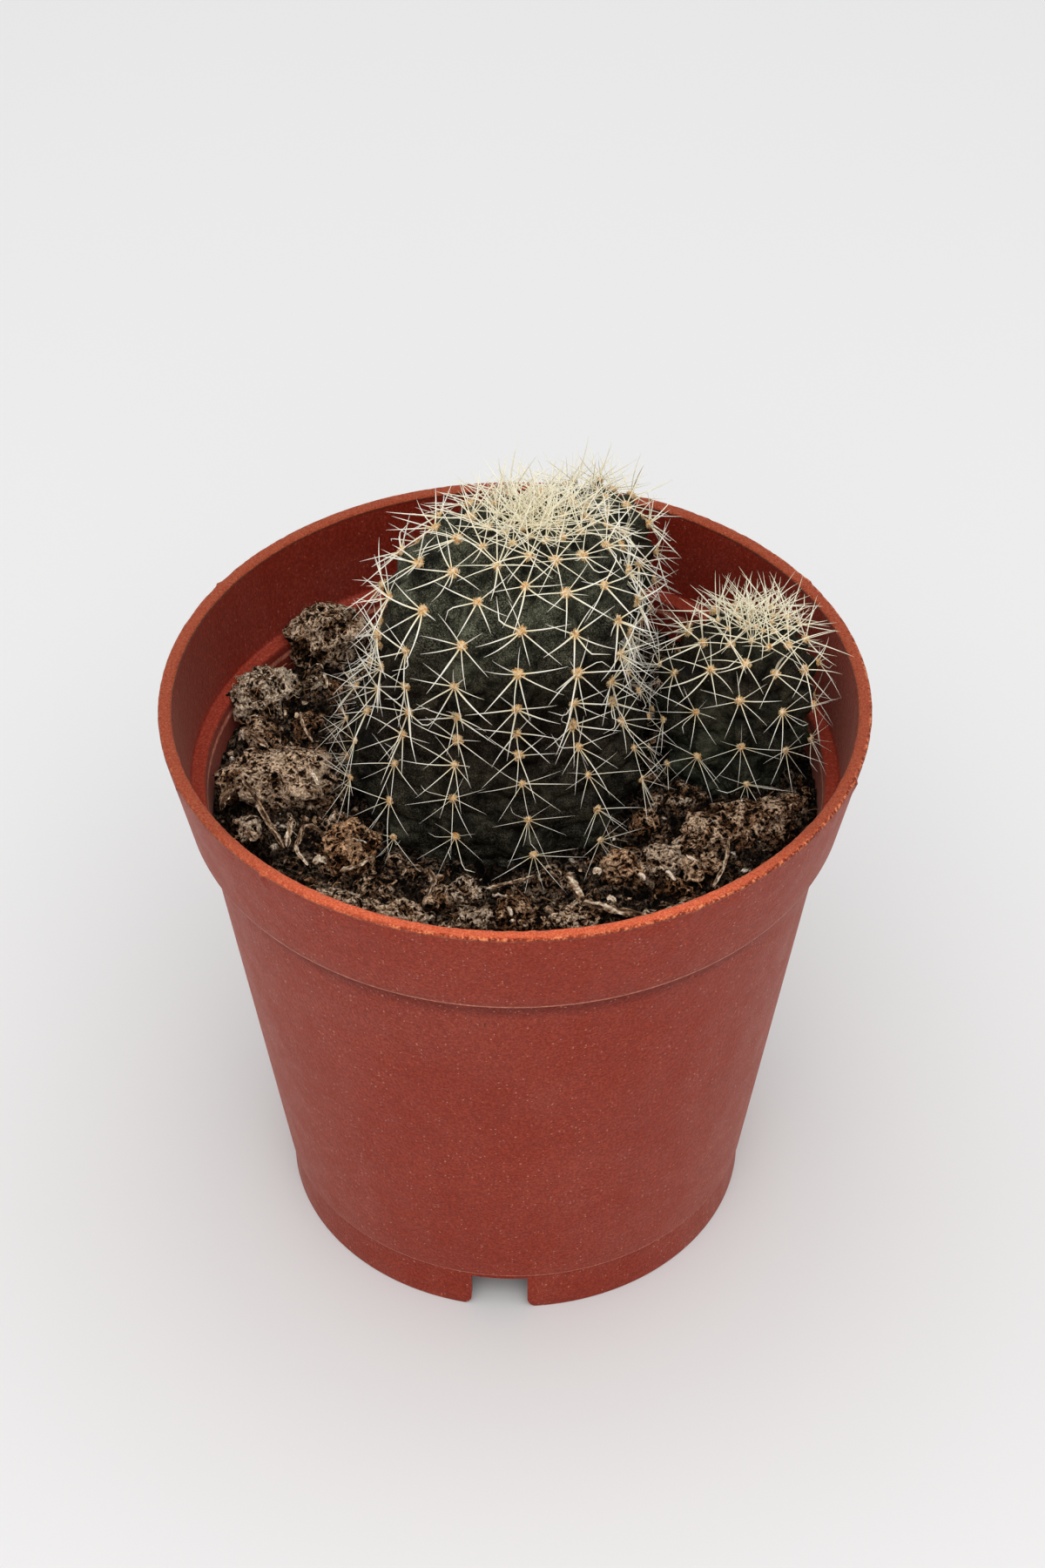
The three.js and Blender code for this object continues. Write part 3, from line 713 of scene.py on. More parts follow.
def sideLine(stem, steps=400):
    # (radius, height, distance from the crown) down the stem's side
    bottom = soilLevel - stem["rootDepth"]
    points = []
    for i in range(steps + 1):
        z = bottom + (stem["crown"] - bottom) * (1 + math.cos(math.pi * i / steps)) / 2
        r = 0 if i in (0, steps) else stemRadius(stem, z)
        along = points[-1][2] + math.hypot(r - points[-1][0], z - points[-1][1]) if points else 0
        points.append((r, z, along))
    return points


def onSideLine(points, along):
    i = min(len(points) - 1, max(1, bisect.bisect_left(points, along, key=lambda p: p[2])))
    a, b = points[i - 1], points[i]
    length = b[2] - a[2]
    share = (along - a[2]) / length
    wider, higher = b[0] - a[0], b[1] - a[1]
    return a[0] + wider * share, a[1] + higher * share, wider / length, higher / length


def ribTurn(stem, rib, z):
    share = (z - soilLevel) / (stem["crown"] - soilLevel)
    return math.radians(stem["firstRib"] + 360 / stem["ribs"] * rib + stem["twist"] * share)


def areolePlaces(stem, points, rib):
    places = []
    along = stem["firstStep"] * (0.7 + ((rib * 5) % stem["ribs"]) / stem["ribs"])
    while True:
        z = onSideLine(points, along)[1]
        if z < soilLevel + skinShape["lowestAreole"]:
            return places
        places.append(along)
        step = min(stem["fullStep"], stem["firstStep"] + stem["growth"] * along)
        if "waist" in stem:
            height, reach, squeeze = stem["waist"]
            step *= 1 - squeeze * math.exp(-(((z - height) / reach) ** 2))
        along += step


def betweenAreoles(places, along):
    # 0 at an areole, 0.5 half way to the next
    i = bisect.bisect_left(places, along)
    if i == 0 or i == len(places):
        nearest = places[0] if i == 0 else places[-1]
        return min(0.5, abs(along - nearest) / skinShape["endStep"])
    share = (along - places[i - 1]) / (places[i] - places[i - 1])
    return min(share, 1 - share)


def tubercleDrop(places, along):
    # how far the skin falls back from the top of a tubercle, with a crease between two of them
    share = betweenAreoles(places, along)
    swell = (0.5 + 0.5 * math.cos(2 * math.pi * share)) ** 0.8
    return 1 - swell, math.exp(-(((0.5 - share) / skinShape["creaseWidth"]) ** 2))


def skinDrop(stem, places, along, z, rib, part):
    # how far the skin lies below the stem's outline; part runs from one rib to the next
    s = skinShape
    shown = smoothStep(soilLevel - 3, soilLevel, z)
    low = shown * (1 - 0.75 * smoothStep(*s["foldsEnd"], z))
    valley = 0.5 - 0.5 * math.cos(2 * math.pi * part)
    crest = smoothStep(0.5, 0, min(part, 1 - part))
    nearest = places[rib if part < 0.5 else (rib + 1) % stem["ribs"]]
    fall, crease = tubercleDrop(nearest, along - s["chin"] * valley)
    drop = s["tubercle"] * fall * crest + (s["tubercle"] + stem["ribDepth"] * shown) * valley ** 0.85
    drop += s["crease"] * low * crease * (1 - 0.6 * valley)
    turn = ribTurn(stem, rib + part, z)
    around = Vector((math.cos(turn), math.sin(turn), 0)) * (3 + stem["seed"])
    wrinkle = abs(noise.noise(around * 0.5 + Vector((0, 0, z * 0.42))))
    drop += s["fold"] * low * max(0, 1 - 7 * wrinkle)
    drop += s["unevenness"] * noise.fractal(around * 1.1 + Vector((0, 0, z * 0.6)), 0.7, 2.1, 3)
    return drop * smoothStep(0, s["reliefStart"], along)


def buildStemSkin(stem, name):
    points = sideLine(stem)
    length = points[-1][2]
    rows = round(length / stem["rowStep"])
    perRib = stem["columnsPerRib"]
    columns = stem["ribs"] * perRib
    places = [areolePlaces(stem, points, rib) for rib in range(stem["ribs"])]
    spots = [(*stemCentre(stem, points[0][1]), points[0][1])]
    for row in range(1, rows):
        along = length * row / rows
        r, z, dr, dz = onSideLine(points, along)
        x, y = stemCentre(stem, z)
        for column in range(columns):
            rib, part = column // perRib, column % perRib / perRib
            turn = ribTurn(stem, rib + part, z)
            drop = min(skinDrop(stem, places, along, z, rib, part), skinShape["deepest"] * r)
            radius = r + dz * drop  # the outward normal is (-dz, dr)
            spots.append((x + radius * math.cos(turn), y + radius * math.sin(turn), z - dr * drop))
    spots.append((*stemCentre(stem, points[-1][1]), points[-1][1]))
    return meshFrom(name, spots, shellFaces(rows - 1, columns, flipped=True)), points, places


skinLook = {
    "darkSkin": [(0.36, (0.001, 0.001, 0.0006)), (0.54, (0.014, 0.0152, 0.0095)), (0.72, (0.084, 0.094, 0.06))],
    "greenSkin": [(0.36, (0.003, 0.0048, 0.0034)), (0.54, (0.03, 0.044, 0.028)), (0.72, (0.11, 0.15, 0.092))],
    "pores": (0.25, 0.245, 0.165),
    "shade": (0.46, 0.43, 0.44),
    "shadeEnd": (80, 94),  # heights between which the painted shade fades out
    "tinge": (0.74, 0.56, 0.52),
    "tingeStart": (66, 78),  # heights between which the tinge comes in
    "dust": (0.5, 0.45, 0.33),
}


def skinFinish(name):
    look = skinLook
    finish, tree, shader = newFinish(name, 0.55, 0.06)
    z = addNode(tree, "ShaderNodeSeparateXYZ", {"Vector": objectPoint(tree)}).outputs["Z"]
    colour = ramp(tree, noiseValue(tree, 210.0, 5.0, 0.7), look[name])
    # countless pale pores in patches
    fine = mapped(tree, noiseValue(tree, 6200.0, 3.0, 0.75), 0.46, 0.66)
    patches = mapped(tree, noiseValue(tree, 420.0, 4.0, 0.6), 0.36, 0.62, 0.12)
    colour = mixColour(tree, times(tree, fine, patches, 0.9), colour, look["pores"])
    # painted shade darkens the skin below the dome, with a brown and purple tinge that is partly the skin's own
    # colour and partly more painted shade at the waist, and a few grains of dust
    low = mapped(tree, z, *(height * mm for height in look["shadeEnd"]), 1.0, 0.0)
    above = mapped(tree, z, *(height * mm for height in look["tingeStart"]))
    colour = tinted(tree, low, colour, look["shade"])
    colour = tinted(tree, times(tree, above, low), colour, look["tinge"])
    dust = useGroup(tree, speckGroup, {"Spacing": 1700.0, "Size": 0.14, "Amount": 0.05})
    colour = mixColour(tree, times(tree, dust, 0.7), colour, look["dust"])
    # fine creases run across the ribs
    creases = mapped(tree, noiseValue(tree, 330.0, 4.0, 0.6, stretchedPoint(tree, 3.5)), 0.4, 0.5)
    grain = useGroup(tree, grainGroup, {"Scale": 4200.0, "Coarse": 1100.0, "Coarse Share": 0.5})
    relief = plus(tree, grain, times(tree, creases, 0.45))
    dress(tree, shader, colour, relief, 0.8, 0.2, mapped(tree, noiseValue(tree, 500.0), 0.3, 0.7, 0.5, 0.7))
    return finish


darkSkin = skinFinish("darkSkin")
greenSkin = skinFinish("greenSkin")

# Spines and the wool of the areoles
spineLook = {
    "rise": (10, 36),
    "centralRise": (50, 78),
    "centralChance": 0.35,
    "centralLength": 0.8,  # of the stem's spine length
    "crownRise": (4, 70, 20),  # least, most and likeliest
    "crownReach": 8,
    "crownEdge": (5, 12),  # distances from the crown over which its spines give way to the others
    "lowEdge": (72, 84),  # heights below which the spines are thin and the areoles small
    "upwardShare": 0.45,
    "lengthSpread": 0.18,
    "thickness": 0.185,
    "lowThickness": 0.44,
    "tipShare": 0.1,
    "bend": 0.105,
    "sides": 5,
    "points": 7,
    "forms": [  # how far each form bends, how sharply it turns at its elbow, and where the elbow is
        (0.2, 0, 0.5), (1, 0, 0.5), (2.2, 0, 0.5), (0.3, 1, 0.6), (-1, 0, 0.5), (0.5, -0.85, 0.45)],
    "formShares": (4, 5, 4, 0.8, 4, 0.6),
    "crownShares": (1, 4, 7, 0.3, 2, 0.4),
    "gap": 0.25,
    "steepest": 86,
    "retries": [  # how much steeper, and what share of its length, until the spine stands in free air
        (0, 1), (14, 1), (28, 1), (0, 0.75), (28, 0.75), (45, 0.6), (60, 0.45)],
    "rootToTip": [
        (0, (0.7, 0.42, 0.14)), (0.14, (0.9, 0.77, 0.46)),
        (0.42, (0.98, 0.95, 0.84)), (1, (0.93, 0.87, 0.76))],
    "crownTone": (0.93, 0.86, 0.62),
}
woolLook = {
    "width": 1.12,
    "height": 0.8,
    "hairs": 70.0,
    "hairLength": 0.2,
    "hairWidth": 0.045,
    "hairTones": [
        (0, (0.5, 0.2, 0.05)), (0.2, (0.8, 0.48, 0.18)),
        (0.45, (0.95, 0.75, 0.4)), (1, (1, 0.95, 0.74))],
    "clumpTones": [
        (0.36, (0.36, 0.12, 0.03)), (0.44, (0.85, 0.5, 0.18)),
        (0.52, (0.98, 0.78, 0.42)), (0.6, (1, 0.96, 0.78))],
}


def nearStem(stem, p, gap):
    if p.z > stem["crown"] + gap:
        return False
    x, y = stemCentre(stem, p.z)
    return math.hypot(p.x - x, p.y - y) < stemRadius(stem, p.z) + gap


def inFreeAir(root, tip, own):
    for i in range(2, 8):
        p = root.lerp(tip, i / 7)
        if math.hypot(p.x, p.y) > potInside(p.z) - spineLook["gap"]:
            return False
        if p.z < soilHeight(p.x, p.y) + 0.1 or p.z > cadBox[1].z / mm - 0.05:
            return False
        if any(nearStem(stem, p, 0.05) for stem in stems if stem is not own):
            return False
        if i > 3 and nearStem(own, p, 0.05):
            return False
    return True


def areoleFrame(stem, points, rib, along):
    r, z, dr, dz = onSideLine(points, along)
    turn = ribTurn(stem, rib, z)
    x, y = stemCentre(stem, z)
    out = Vector((math.cos(turn), math.sin(turn), 0))
    up = Vector((0, 0, 1))
    side = Vector((-math.sin(turn), math.cos(turn), 0))
    return Vector((x, y, z)) + out * r, up * dr - out * dz, out * dr + up * dz, side


def spineWishes(stem, draw, along, z):
    # turn (0 is down the stem), rise and length of each spine that an areole would grow
    if along < spineLook["crownReach"]:
        start, count = draw.uniform(0, 2 * math.pi), stem["crownSpines"]
        least, most, likeliest = spineLook["crownRise"]
        length = stem["spineLength"] * (0.92 + 0.13 * smoothStep(1, 6, along))
        return [(start + 2 * math.pi * (i + draw.uniform(-0.4, 0.4)) / count,
                 draw.triangular(least, most, likeliest), length) for i in range(count)]
    count = stem["radial"] + draw.choice((-1, 0, 0, 1)) + (1 if z < 78 else 0)
    start = draw.uniform(0, 2 * math.pi)
    wishes = []
    for i in range(count):
        turn = start + 2 * math.pi * (i + draw.uniform(-0.3, 0.3)) / count
        upward = -math.cos(turn)
        if upward > 0.7 and draw.random() > spineLook["upwardShare"]:
            continue
        length = stem["spineLength"] * (1 - 0.22 * max(0, upward))
        wishes.append((turn, draw.uniform(*spineLook["rise"]), length))
    if draw.random() < spineLook["centralChance"]:
        length = stem["spineLength"] * spineLook["centralLength"]
        wishes.append((draw.gauss(0, 0.9), draw.uniform(*spineLook["centralRise"]), length))
    return wishes


def growSpines(stem, points, places):
    # one row per spine: root, direction, way it bends, length, thickness, form, tone
    draw = random.Random(stem["seed"])
    grown, areoles = [], []
    for rib, stations in enumerate(places):
        for along in stations:
            spot, normal, down, side = areoleFrame(stem, points, rib, along)
            crown = 1 - smoothStep(*spineLook["crownEdge"], along)
            low = 1 - smoothStep(*spineLook["lowEdge"], spot.z)
            size = draw.uniform(0.85, 1.15) * (1 - 0.3 * low) * (0.6 + 0.4 * smoothStep(2, 7, along))
            areoles.append((spot, normal, down, size, draw.random()))
            for turn, rise, length in spineWishes(stem, draw, along, spot.z):
                length *= 1 + draw.uniform(-1, 1) * spineLook["lengthSpread"]
                flat = down * math.cos(turn) + side * math.sin(turn)
                root = spot + flat * 0.2 + normal * 0.15
                swing = draw.gauss(0 if crown > 0.5 else math.pi, 1.1)
                bendWay = normal * math.cos(swing) + normal.cross(flat) * math.sin(swing)
                form = draw.choices(range(6), spineLook["crownShares" if crown > 0.5 else "formShares"])[0]
                thinning = (1 - spineLook["lowThickness"]) * max(low, 0.45 * crown)
                thick = (1 - thinning) * draw.uniform(0.8, 1.15)
                tone = min(1, max(0, 0.75 * crown + draw.uniform(-0.1, 0.4)))
                for lift, share in spineLook["retries"]:
                    angle = math.radians(min(spineLook["steepest"], rise + lift))
                    direction = flat * math.cos(angle) + normal * math.sin(angle)
                    if inFreeAir(root, root + direction * length * share, stem):
                        grown.append((root, direction, bendWay, length * share, thick, form, tone))
                        break
    return grown, areoles


def pointCloud(name, rows, fields):
    # a mesh of bare points that carries the fields as attributes
    mesh = bpy.data.meshes.new(name)
    mesh.from_pydata([Vector(row[0]) * mm for row in rows], [], [])
    for index, (label, kind) in enumerate(fields, 1):
        attribute = mesh.attributes.new(label, kind, "POINT")
        values = [row[index] for row in rows]
        if kind == "FLOAT_VECTOR":
            attribute.data.foreach_set("vector", [c for v in values for c in v])
        else:
            attribute.data.foreach_set("value", values)
    return addObject(name, mesh)


def newTree(name, inputs):
    # the kind of an input follows from its first value; None stands for a material
    tree = bpy.data.node_groups.new(name, "GeometryNodeTree")
    tree.interface.new_socket("Geometry", in_out="INPUT", socket_type="NodeSocketGeometry")
    for label, value in inputs.items():
        kind = {float: "Float", int: "Int"}.get(type(value), "Material")
        socket = tree.interface.new_socket(label, in_out="INPUT", socket_type="NodeSocket" + kind)
        if value is not None:
            socket.default_value = value
    tree.interface.new_socket("Geometry", in_out="OUTPUT", socket_type="NodeSocketGeometry")
    return tree, tree.nodes.new("NodeGroupInput").outputs, tree.nodes.new("NodeGroupOutput").inputs


def endTree(tree, geometry, given, material):
    solid = addNode(tree, "GeometryNodeRealizeInstances", {0: geometry}).outputs[0]
    smooth = addNode(tree, "GeometryNodeSetShadeSmooth", {0: solid}).outputs[0]
    finish = addNode(tree, "GeometryNodeSetMaterial", {0: smooth, "Material": material}).outputs[0]
    tree.links.new(finish, given["Geometry"])
    return tree


def runTree(thing, tree, values, name):
    modifier = thing.modifiers.new("nodes", "NODES")
    modifier.node_group = tree
    sockets = {item.name: item.identifier for item in tree.interface.items_tree if item.in_out == "INPUT"}
    for label, value in values.items():
        modifier[sockets[label]] = value
    thing.update_tag()
    bpy.context.view_layer.update()
    mesh = plainMesh(thing, name)
    thing.modifiers.remove(modifier)
    return mesh


def named(tree, label, kind="FLOAT"):
    made = addNode(tree, "GeometryNodeInputNamedAttribute", {"Name": label}, data_type=kind)
    return next(s for s in made.outputs if s.enabled and s.name == "Attribute")


def remember(tree, geometry, label, value):
    inputs = {"Geometry": geometry, "Name": label, "Value": value}
    made = addNode(tree, "GeometryNodeStoreNamedAttribute", inputs, data_type="FLOAT", domain="POINT")
    return made.outputs[0]


def lucky(tree, least, most, seed):
    inputs = {2: least, 3: most, "Seed": seed}
    return addNode(tree, "FunctionNodeRandomValue", inputs, data_type="FLOAT").outputs[1]


def luckyVector(tree, least, most, seed):
    inputs = {0: least, 1: most, "Seed": seed}
    return addNode(tree, "FunctionNodeRandomValue", inputs, data_type="FLOAT_VECTOR").outputs[0]


def facing(tree, front, side):
    # a rotation that turns Z to one attribute and X to the other
    return addNode(tree, "FunctionNodeAxesToRotation", {
        0: named(tree, front, "FLOAT_VECTOR"), 1: named(tree, side, "FLOAT_VECTOR"),
    }, primary_axis="Z", secondary_axis="X").outputs[0]


def joined(tree, shapes):
    family = addNode(tree, "GeometryNodeJoinGeometry")
    for shape in reversed(shapes):
        tree.links.new(shape, family.inputs[0])
    return family.outputs[0]


def oneOf(tree, spots, shapes, turn, scale, form=None):
    # one of the shapes on each spot, in turn or by the number of its form
    single = [addNode(tree, "GeometryNodeGeometryToInstance", {0: shape}).outputs[0] for shape in shapes]
    family = joined(tree, single)
    inputs = {"Points": spots, "Instance": family, "Pick Instance": True, "Rotation": turn, "Scale": scale}
    if form:
        inputs["Instance Index"] = form
    return addNode(tree, "GeometryNodeInstanceOnPoints", inputs).outputs[0]


def ruffled(tree, shape, shift, amount, inputs):
    # push the shape's points about by a noise that is read at a shifted place
    place = vectorMaths(tree, "ADD", addNode(tree, "GeometryNodeInputPosition").outputs[0], shift)
    push = ruffle(tree, inputs | {"Vector": place}, amount)
    return addNode(tree, "GeometryNodeSetPosition", {"Geometry": shape, "Offset": push}).outputs[0]


def straightLine(tree, start, end, count):
    line = addNode(tree, "GeometryNodeCurvePrimitiveLine", {"Start": start, "End": end}).outputs[0]
    return addNode(tree, "GeometryNodeResampleCurve", {"Curve": line, "Count": count}).outputs[0]


def swept(tree, line, sides, radius, scale):
    section = addNode(tree, "GeometryNodeCurvePrimitiveCircle", {"Resolution": sides, "Radius": radius})
    inputs = {"Curve": line, "Profile Curve": section.outputs[0], "Scale": scale, "Fill Caps": True}
    return addNode(tree, "GeometryNodeCurveToMesh", inputs).outputs[0]


def makeSpineTree():
    tree, taken, given = newTree("growSpines", {
        "Thickness": 0.04, "Tip Share": 0.1, "Bend": 0.1, "Sides": 5, "Points": 7, "Material": None})
    radius = times(tree, taken["Thickness"], 0.5)
    forms = []
    for bend, elbow, elbowPlace in spineLook["forms"]:
        line = straightLine(tree, (0, 0, 0), (0, 0, 1), taken["Points"])
        along = addNode(tree, "GeometryNodeSplineParameter").outputs["Factor"]
        line = remember(tree, line, "alongSpine", along)
        curve = times(tree, taken["Bend"], bend, maths(tree, "POWER", along, 2.0))
        late = maths(tree, "MAXIMUM", minus(tree, along, elbowPlace), 0.0)
        sideways = plus(tree, curve, times(tree, late, elbow))
        push = vector(tree, sideways, 0, times(tree, late, -0.7 * abs(elbow)))
        line = addNode(tree, "GeometryNodeSetPosition", {"Geometry": line, "Offset": push}).outputs[0]
        lost = times(tree, maths(tree, "POWER", along, 2.4), minus(tree, 1.0, taken["Tip Share"]))
        forms.append(swept(tree, line, taken["Sides"], radius, minus(tree, 1.0, lost)))
    length = named(tree, "length")
    across = times(tree, length, named(tree, "thick"))
    placed = oneOf(tree, taken["Geometry"], forms, facing(tree, "direction", "bendWay"),
                   vector(tree, across, across, length), form=named(tree, "form", "INT"))
    return endTree(tree, placed, given, taken["Material"])


def makeWoolTree():
    # a low cushion with short tufts all over it, one on each areole, in three forms
    tree, taken, given = newTree("growWool", {
        "Width": 1.2 * mm, "Height": 0.7 * mm, "Hairs": 12.0, "Hair Length": 0.5 * mm,
        "Hair Width": 0.06 * mm, "Material": None})
    width, hairWidth = taken["Width"], taken["Hair Width"]
    size = vector(tree, width, width, taken["Height"])
    density = maths(tree, "DIVIDE", taken["Hairs"], times(tree, width, width, 2.6))
    forms = []
    for form in range(3):
        ball = addNode(tree, "GeometryNodeMeshIcoSphere", {"Radius": 0.5, "Subdivisions": 2}).outputs[0]
        ball = ruffled(tree, ball, (0, 0, 0), 1.5, {"Scale": 4.0 + form})
        ball = addNode(tree, "GeometryNodeTransform", {"Geometry": ball, "Scale": size}).outputs[0]
        roots = addNode(tree, "GeometryNodeDistributePointsOnFaces", {
            "Mesh": ball, "Density": density, "Seed": form}).outputs
        hair = addNode(tree, "GeometryNodeMeshCone", {
            "Vertices": 4, "Side Segments": 1, "Radius Top": times(tree, hairWidth, 0.4),
            "Radius Bottom": hairWidth, "Depth": taken["Hair Length"]}).outputs[0]
        spread = luckyVector(tree, (-0.5, -0.5, -0.5), (0.5, 0.5, 0.5), form)
        lean = addNode(tree, "FunctionNodeRotateRotation", {
            0: roots["Rotation"], 1: addNode(tree, "FunctionNodeEulerToRotation", {0: spread}).outputs[0]})
        hairs = addNode(tree, "GeometryNodeInstanceOnPoints", {
            "Points": remember(tree, roots["Points"], "hairTone", lucky(tree, 0.0, 1.0, form + 7)),
            "Instance": hair, "Rotation": lean.outputs[0], "Scale": lucky(tree, 0.5, 1.2, form + 3)})
        hairs = addNode(tree, "GeometryNodeRealizeInstances", {0: hairs.outputs[0]}).outputs[0]
        forms.append(joined(tree, [ball, hairs]))
    placed = oneOf(tree, taken["Geometry"], forms, facing(tree, "normal", "down"), named(tree, "size"))
    return endTree(tree, placed, given, taken["Material"])


def attributeValue(tree, label):
    return addNode(tree, "ShaderNodeAttribute", attribute_name=label).outputs["Fac"]


def spineFinish():
    finish, tree, shader = newFinish("spineIvory", 0.42, 0.4)
    colour = ramp(tree, attributeValue(tree, "alongSpine"), spineLook["rootToTip"])
    colour = mixColour(tree, attributeValue(tree, "tone"), colour, spineLook["crownTone"])
    grain = noiseValue(tree, 900.0)
    colour = mixColour(tree, times(tree, grain, 0.3), colour, (0.95, 0.92, 0.86))
    dress(tree, shader, colour, grain, 0.2, 0.03)
    return finish


def woolFinish():
    finish, tree, shader = newFinish("areoleWool", 0.9, 0.2)
    hairTone = ramp(tree, attributeValue(tree, "hairTone"), woolLook["hairTones"])
    clumps = ramp(tree, noiseValue(tree, 2600.0, 3.0, 0.7), woolLook["clumpTones"])
    dress(tree, shader, mixColour(tree, 0.4, clumps, hairTone), noiseValue(tree, 4200.0, 3.0, 0.7), 0.8, 0.1)
    return finish


# The soil
soilShape = {
    "edgeDip": 1.0,
    "roughness": 0.8,
    "grain": 4.2,
    "sides": 300,
    "rings": 120,
    "crumble": 1.5,
    "heaps": [((-23, 23), 2.4, 8), ((-30, 10), 1.4, 8), ((26, -10), 1.7, 8)],
}
clodShape = {
    "waves": 0.22,
    "ridges": 0.75,
    "pits": 3.2,
    # painted shade on the lumps' lower sides
    "shade": 0.3,
    "paleness": 0.48,
    "rooting": 1.9,
    "places": [  # middle, half sizes, turn, reddish share, paler or darker, detail
        ((-23.7, 24.4, 66.8), (4.9, 3.9, 3.3), 12, 0.4, -0.1, 5),
        ((-31, 14.6, 65.3), (4.4, 3.3, 2.9), 22, 0.2, -0.02, 5),
        ((-28.7, -0.7, 64.5), (7.1, 4.4, 2.8), 3, 0.5, -0.01, 5),
        ((-19.6, -13.2, 64.4), (3.3, 3.2, 3), 40, 1.0, -0.18, 5),
        ((-32.2, -9.6, 63.4), (1.9, 2, 1.7), 0, 0.2, -0.08, 4),
        ((-14, -23.2, 62.7), (4, 2.3, 1.9), -22, 0.4, -0.3, 5),
        ((26.3, -9.2, 64), (7.6, 3.3, 2.6), 24, 0.5, -0.33, 5),
        ((12.6, -15.8, 63.6), (2.2, 2, 1.9), -4, 0.9, -0.2, 4),
        ((17, -14.9, 63.6), (2.9, 2.1, 1.9), 8, 0.3, -0.05, 5),
        ((22.1, -16.3, 63.5), (2.3, 2.2, 2), 0, 0.7, -0.16, 5),
        ((-0.2, -23.2, 63.1), (2.5, 1.9, 1.7), 10, 0.7, -0.36, 4),
        ((6.9, -23.9, 62.9), (2.7, 1.7, 1.5), 4, 0.4, -0.36, 4),
        ((-4.9, -24.1, 62.9), (2.1, 1.6, 1.5), -8, 0.2, -0.26, 4),
        ((-5.7, -19.9, 63.2), (2.1, 1.8, 1.7), 30, 0.1, -0.34, 4),
        ((-20.6, -21.2, 62.5), (2.7, 2, 1.6), -35, 0.3, -0.22, 4),
    ],
}
lumpShape = {
    "count": 90,
    "tries": 6000,
    "smallest": 0.8,
    "largest": 2.8,
    "spacing": 0.95,
    "reach": 36,
    "finer": 1.3,  # lumps above this size are modelled more finely
    "tones": (-0.64, -0.32),
    "seed": 14,
}
# how many to the square millimetre, smallest, largest, how rare the large and the pale ones are, seed
scatterLook = {
    "bedCrumbs": (1.0, 0.25, 1.1, 2.6, 8.0, 5),
    "clodCrumbs": (2.2, 0.15, 0.6, 2.2, 2.4, 6),
    "lumpCrumbs": (1.8, 0.15, 0.6, 2.4, 3.2, 9),
    "bedChunks": (0.05, 1.0, 2.2, 1.8, 2.6, 12),
    "bedChips": (0.06, 0.5, 1.8, 1.8, 0.8, 8),
    "bedFibres": (0.1, 1.5, 5.0, 1.6, 1.6, 3),
    "clodFibres": (0.28, 1.0, 3.2, 1.6, 1.4, 4),
    "clodShreds": (0.16, 0.8, 2.4, 1.8, 1.5, 7),
    "lumpShreds": (0.16, 0.8, 2.4, 1.8, 1.5, 10),
}


def crossedWaves(x, y, z=0.0):
    return (math.sin(x * 1.7 + y * 0.6 + z) + math.sin(y * 1.9 - x * 0.8 + 2.1 * z + 1.3)
            + math.sin((x + y) * 1.1 + 1.6 * z + 4.2) + math.sin((x - y) * 2.6 + 0.9 * z + 2.7)) / 4


def soilHeight(x, y):
    height = soilLevel - soilShape["edgeDip"] * smoothStep(30, 37, math.hypot(x, y))
    for (hx, hy), rise, spread in soilShape["heaps"]:
        height += rise * math.exp(-((math.hypot(x - hx, y - hy) / spread) ** 2))
    return height + soilShape["roughness"] * crossedWaves(x / soilShape["grain"], y / soilShape["grain"])


def setValues(mesh, label, values):
    mesh.attributes.new(label, "FLOAT", "POINT").data.foreach_set("value", values)


def emptyEarth():
    return {"points": [], "faces": [], "paleness": [], "reddish": []}


def earthMesh(name, whole, sharpAngle=None):
    mesh = meshFrom(name, whole["points"], whole["faces"], sharpAngle)
    setValues(mesh, "paleness", whole["paleness"])
    setValues(mesh, "reddish", whole["reddish"])
    return mesh


def addLump(whole, middle, radii, turn, reddish, tone, detail):
    # an irregular crumbly body; paleness is low in its pits and on its lower side, painted shade, and it stays
    # inside the pot
    s, middle = clodShape, Vector(middle)
    bm = bmesh.new()
    bmesh.ops.create_icosphere(bm, subdivisions=detail, radius=1)
    swing = Matrix.Rotation(math.radians(turn), 3, "Z")
    stretched = lambda p: Vector([a * b for a, b in zip(p, radii)])
    first = len(whole["points"])
    for vert in bm.verts:
        p = vert.co.copy()
        seeded = stretched(p) + middle * 1.7
        wave = s["waves"] * crossedWaves(p.x * 2.3 + middle.x, p.y * 2.3 + middle.y, p.z * 3)
        ridge = noise.ridged_multi_fractal(seeded * 0.6, 0.6, 2.2, 5, 1.0, 2.0) / 1.5 - 0.8
        pit = max(0, noise.noise(seeded * 0.42 + Vector((9, 4, 2))) - 0.12)
        lift = (s["ridges"] * ridge - s["pits"] * pit) / (sum(radii) / 3)
        # painted shade: the lower side of each lump is darker
        shade = s["shade"] * smoothStep(0.5, -0.25, p.z)
        if p.z < 0:
            p.z *= s["rooting"]
        p = swing @ (stretched(p) * (1 + wave + max(-0.45, lift))) + middle
        reach, most = math.hypot(p.x, p.y), potInside(p.z) - 0.3
        if reach > most:
            p.x *= most / reach
            p.y *= most / reach
        whole["points"].append(p)
        whole["paleness"].append(min(1, max(0, s["paleness"] + tone - shade + 1.15 * ridge - 0.9 * pit)))
    whole["reddish"] += [reddish] * len(bm.verts)
    whole["faces"] += [[first + vert.index for vert in face.verts] for face in bm.faces]
    bm.free()


